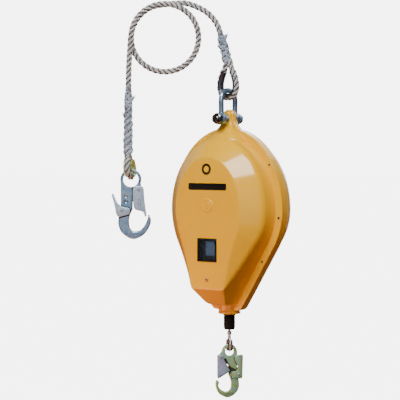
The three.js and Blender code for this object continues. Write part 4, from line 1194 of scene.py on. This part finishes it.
def add_hook(spec, place, material, gate_finish, lever_finish):
    prefix, k, inside = spec["prefix"], spec["size"], spec["depth"] + GAP
    spots = scaled([spec["gate_pin"], spec["lever_pin"]], spec)
    body, grooves = forged_body(spec, spots)
    # the groove faces get painted shade
    piece(f"{prefix}_hook_forged", body, place, material, f"{prefix}_hook",
          f"{prefix}_hook_body", 38, grooves)
    wall, r = SHEET_WALL * k, PIN_RADIUS * k
    head = 1.55 * r
    for name, key, finish, spot in (("gate", "gate", gate_finish, spots[0]),
                                    ("lock_lever", "lever", lever_finish, spots[1])):
        outside = inside + wall
        cheek = rounded(spec[key], spec[f"{key}_ease"], 6, True)
        sheet = slab_mesh([scaled(cheek, spec)], -outside, outside, 0.32 * wall, 2)
        hollow = slab_mesh([scaled(spec[f"{key}_hollow"], spec)], -inside, inside, 0.01, 0)
        sheet = combine(sheet, [hollow, rod(r + 0.1, -20, 20, *spot)])
        if spec is LARGE and key == "gate":
            sheet = raw_mesh(merged(parts_of(sheet), *pressed_ribs(outside)))
        piece(f"{prefix}_{name}_pressed", sheet, place, finish, f"{prefix}_{key}",
              f"{prefix}_{name}", 38)
        end, under = outside + 1, outside + 0.05
        pin = rounded([(0, -end - 0.1), (head, -end + 0.1), (head, -under), (r, -under),
                       (r, under), (head, under), (head, end - 0.1), (0, end + 0.1)],
                      [0, 0.7, 0.1, 0, 0, 0.1, 0.7, 0], 4)
        piece(f"{prefix}_{key}_pin_riveted", moved(lathe(pin, sides=40), *spot), place, STEEL,
              f"{prefix}_hook", f"{prefix}_{key}_pin")
        inside = outside + GAP


def pressed_ribs(outside):
    """Raised ribs on both cheeks of the large hook's gate."""
    return [tube(np.array([(x, face * (outside - 0.35), z) for z in np.linspace(top, low, 9)]),
                 lambda t: 1.05 * sqrt(max(1 - (2 * t - 1) ** 6, 0.03)), 14)
            for x, top, low in RIBS for face in (-1, 1)]


add_hook(LARGE, ANCHOR, ZINC, SHEET, SHEET)
add_hook(SMALL, HARNESS, CHROMATE, CHROMATE_SHEET, CHROMATE)


# ------------------------------------------------------------------ CAD nodes that stay
NODE_FINISH = {
    STEEL: "lug_sleeve main_shaft ratchet_ring brake_plate spring_hub spring_cover pawl_a_pin "
           "pawl_b_pin",
    DARK: "shaft_nut power_spring pawl_a pawl_b", WIRE: "running_wire wound_wire",
    ALLOY: "drum", BRONZE: "drum_bush", LINING: "brake_lining",
    PANE: "window_pane", PLASTIC: "window_tray", PLATE: "indicator_plate",
}
for material, nodes in NODE_FINISH.items():
    for node in nodes.split():
        mesh = frame["nodes"][node].data
        mesh.materials.clear()
        mesh.materials.append(material)


# ------------------------------------------------------------------ floor and light
WHITE = 6.0  # what the camera sees behind the object
AMBIENT = 0.10  # what lights the object from all round
FLOOR_DROP, FLOOR_HALF = 0.8, 60  # metres under the object, and out from it


def add_stage():
    z, s = CAD_BOX[0][2] - FLOOR_DROP, FLOOR_HALF
    mesh = bpy.data.meshes.new("floor")
    mesh.from_pydata([(-s, -s, z), (s, -s, z), (s, s, z), (-s, s, z)], [], [(0, 1, 2, 3)])
    f = Finish("pale_floor", 0.9)
    f.color(f.ramp(f.noise(3), (0.3, (0.86, 0.86, 0.86)), (0.7, (0.9, 0.9, 0.9))))
    f.set(f.shader, **{"Emission Color": (1, 1, 1, 1), "Emission Strength": WHITE * 0.96})
    mesh.materials.append(f.material)
    floor = linked("floor", mesh)
    floor.visible_diffuse = floor.visible_glossy = False


def add_light(name, direction, distance, size, power, color, target=(0, 0, -0.18)):
    """A softbox that faces a target, which is metres from the shackle bolt."""
    data = bpy.data.lights.new(name, "AREA")
    data.shape = "RECTANGLE"
    data.size, data.size_y = size
    data.energy, data.color = power, color
    light = linked(name, data)
    middle = PIN + Vector(target)
    light.location = middle + Vector(direction).normalized() * distance
    light.rotation_euler = (middle - light.location).to_track_quat("-Z", "Y").to_euler()


def add_world():
    """A white glow for the camera, and a dim one for everything else."""
    sky = bpy.data.worlds.new("studio")
    sky.use_nodes = True
    nodes, links = sky.node_tree.nodes, sky.node_tree.links
    mixed = nodes.new("ShaderNodeMixShader")
    links.new(nodes.new("ShaderNodeLightPath").outputs["Is Camera Ray"], mixed.inputs[0])
    for slot, strength, color in ((1, AMBIENT, (1, 0.72, 0.6)), (2, WHITE, (1, 1, 1))):
        light = nodes.new("ShaderNodeBackground")
        light.inputs["Color"].default_value = (*color, 1)
        light.inputs["Strength"].default_value = strength
        links.new(light.outputs[0], mixed.inputs[slot])
    links.new(mixed.outputs[0], nodes["World Output"].inputs["Surface"])
    bpy.context.scene.world = sky


add_stage()
add_world()
add_light("key", (0.30, -0.62, 0.73), 1.6, (1.1, 0.65), 33, (1.0, 0.99, 0.95))
add_light("left", (-0.97, 0.05, 0.3), 2.4, (1.8, 2.2), 6, (0.94, 0.97, 1))
add_light("front", (0.5, -0.86, 0.05), 3.4, (2.4, 2.4), 12, (0.80, 0.91, 1))
add_light("warm_right", (0.85, -0.25, -0.35), 0.6, (0.3, 0.3), 0.34, (1, 0.05, 0.03),
          (0.1, 0, -0.12))
add_light("warm_low", (-0.3, -0.6, -0.8), 0.55, (0.3, 0.3), 1.3, (1, 0.4, 0.2), (0, 0, -0.1))
add_light("rear", (-0.2, 0.95, 0.25), 2.4, (2.2, 2.2), 60, (1, 1, 1))
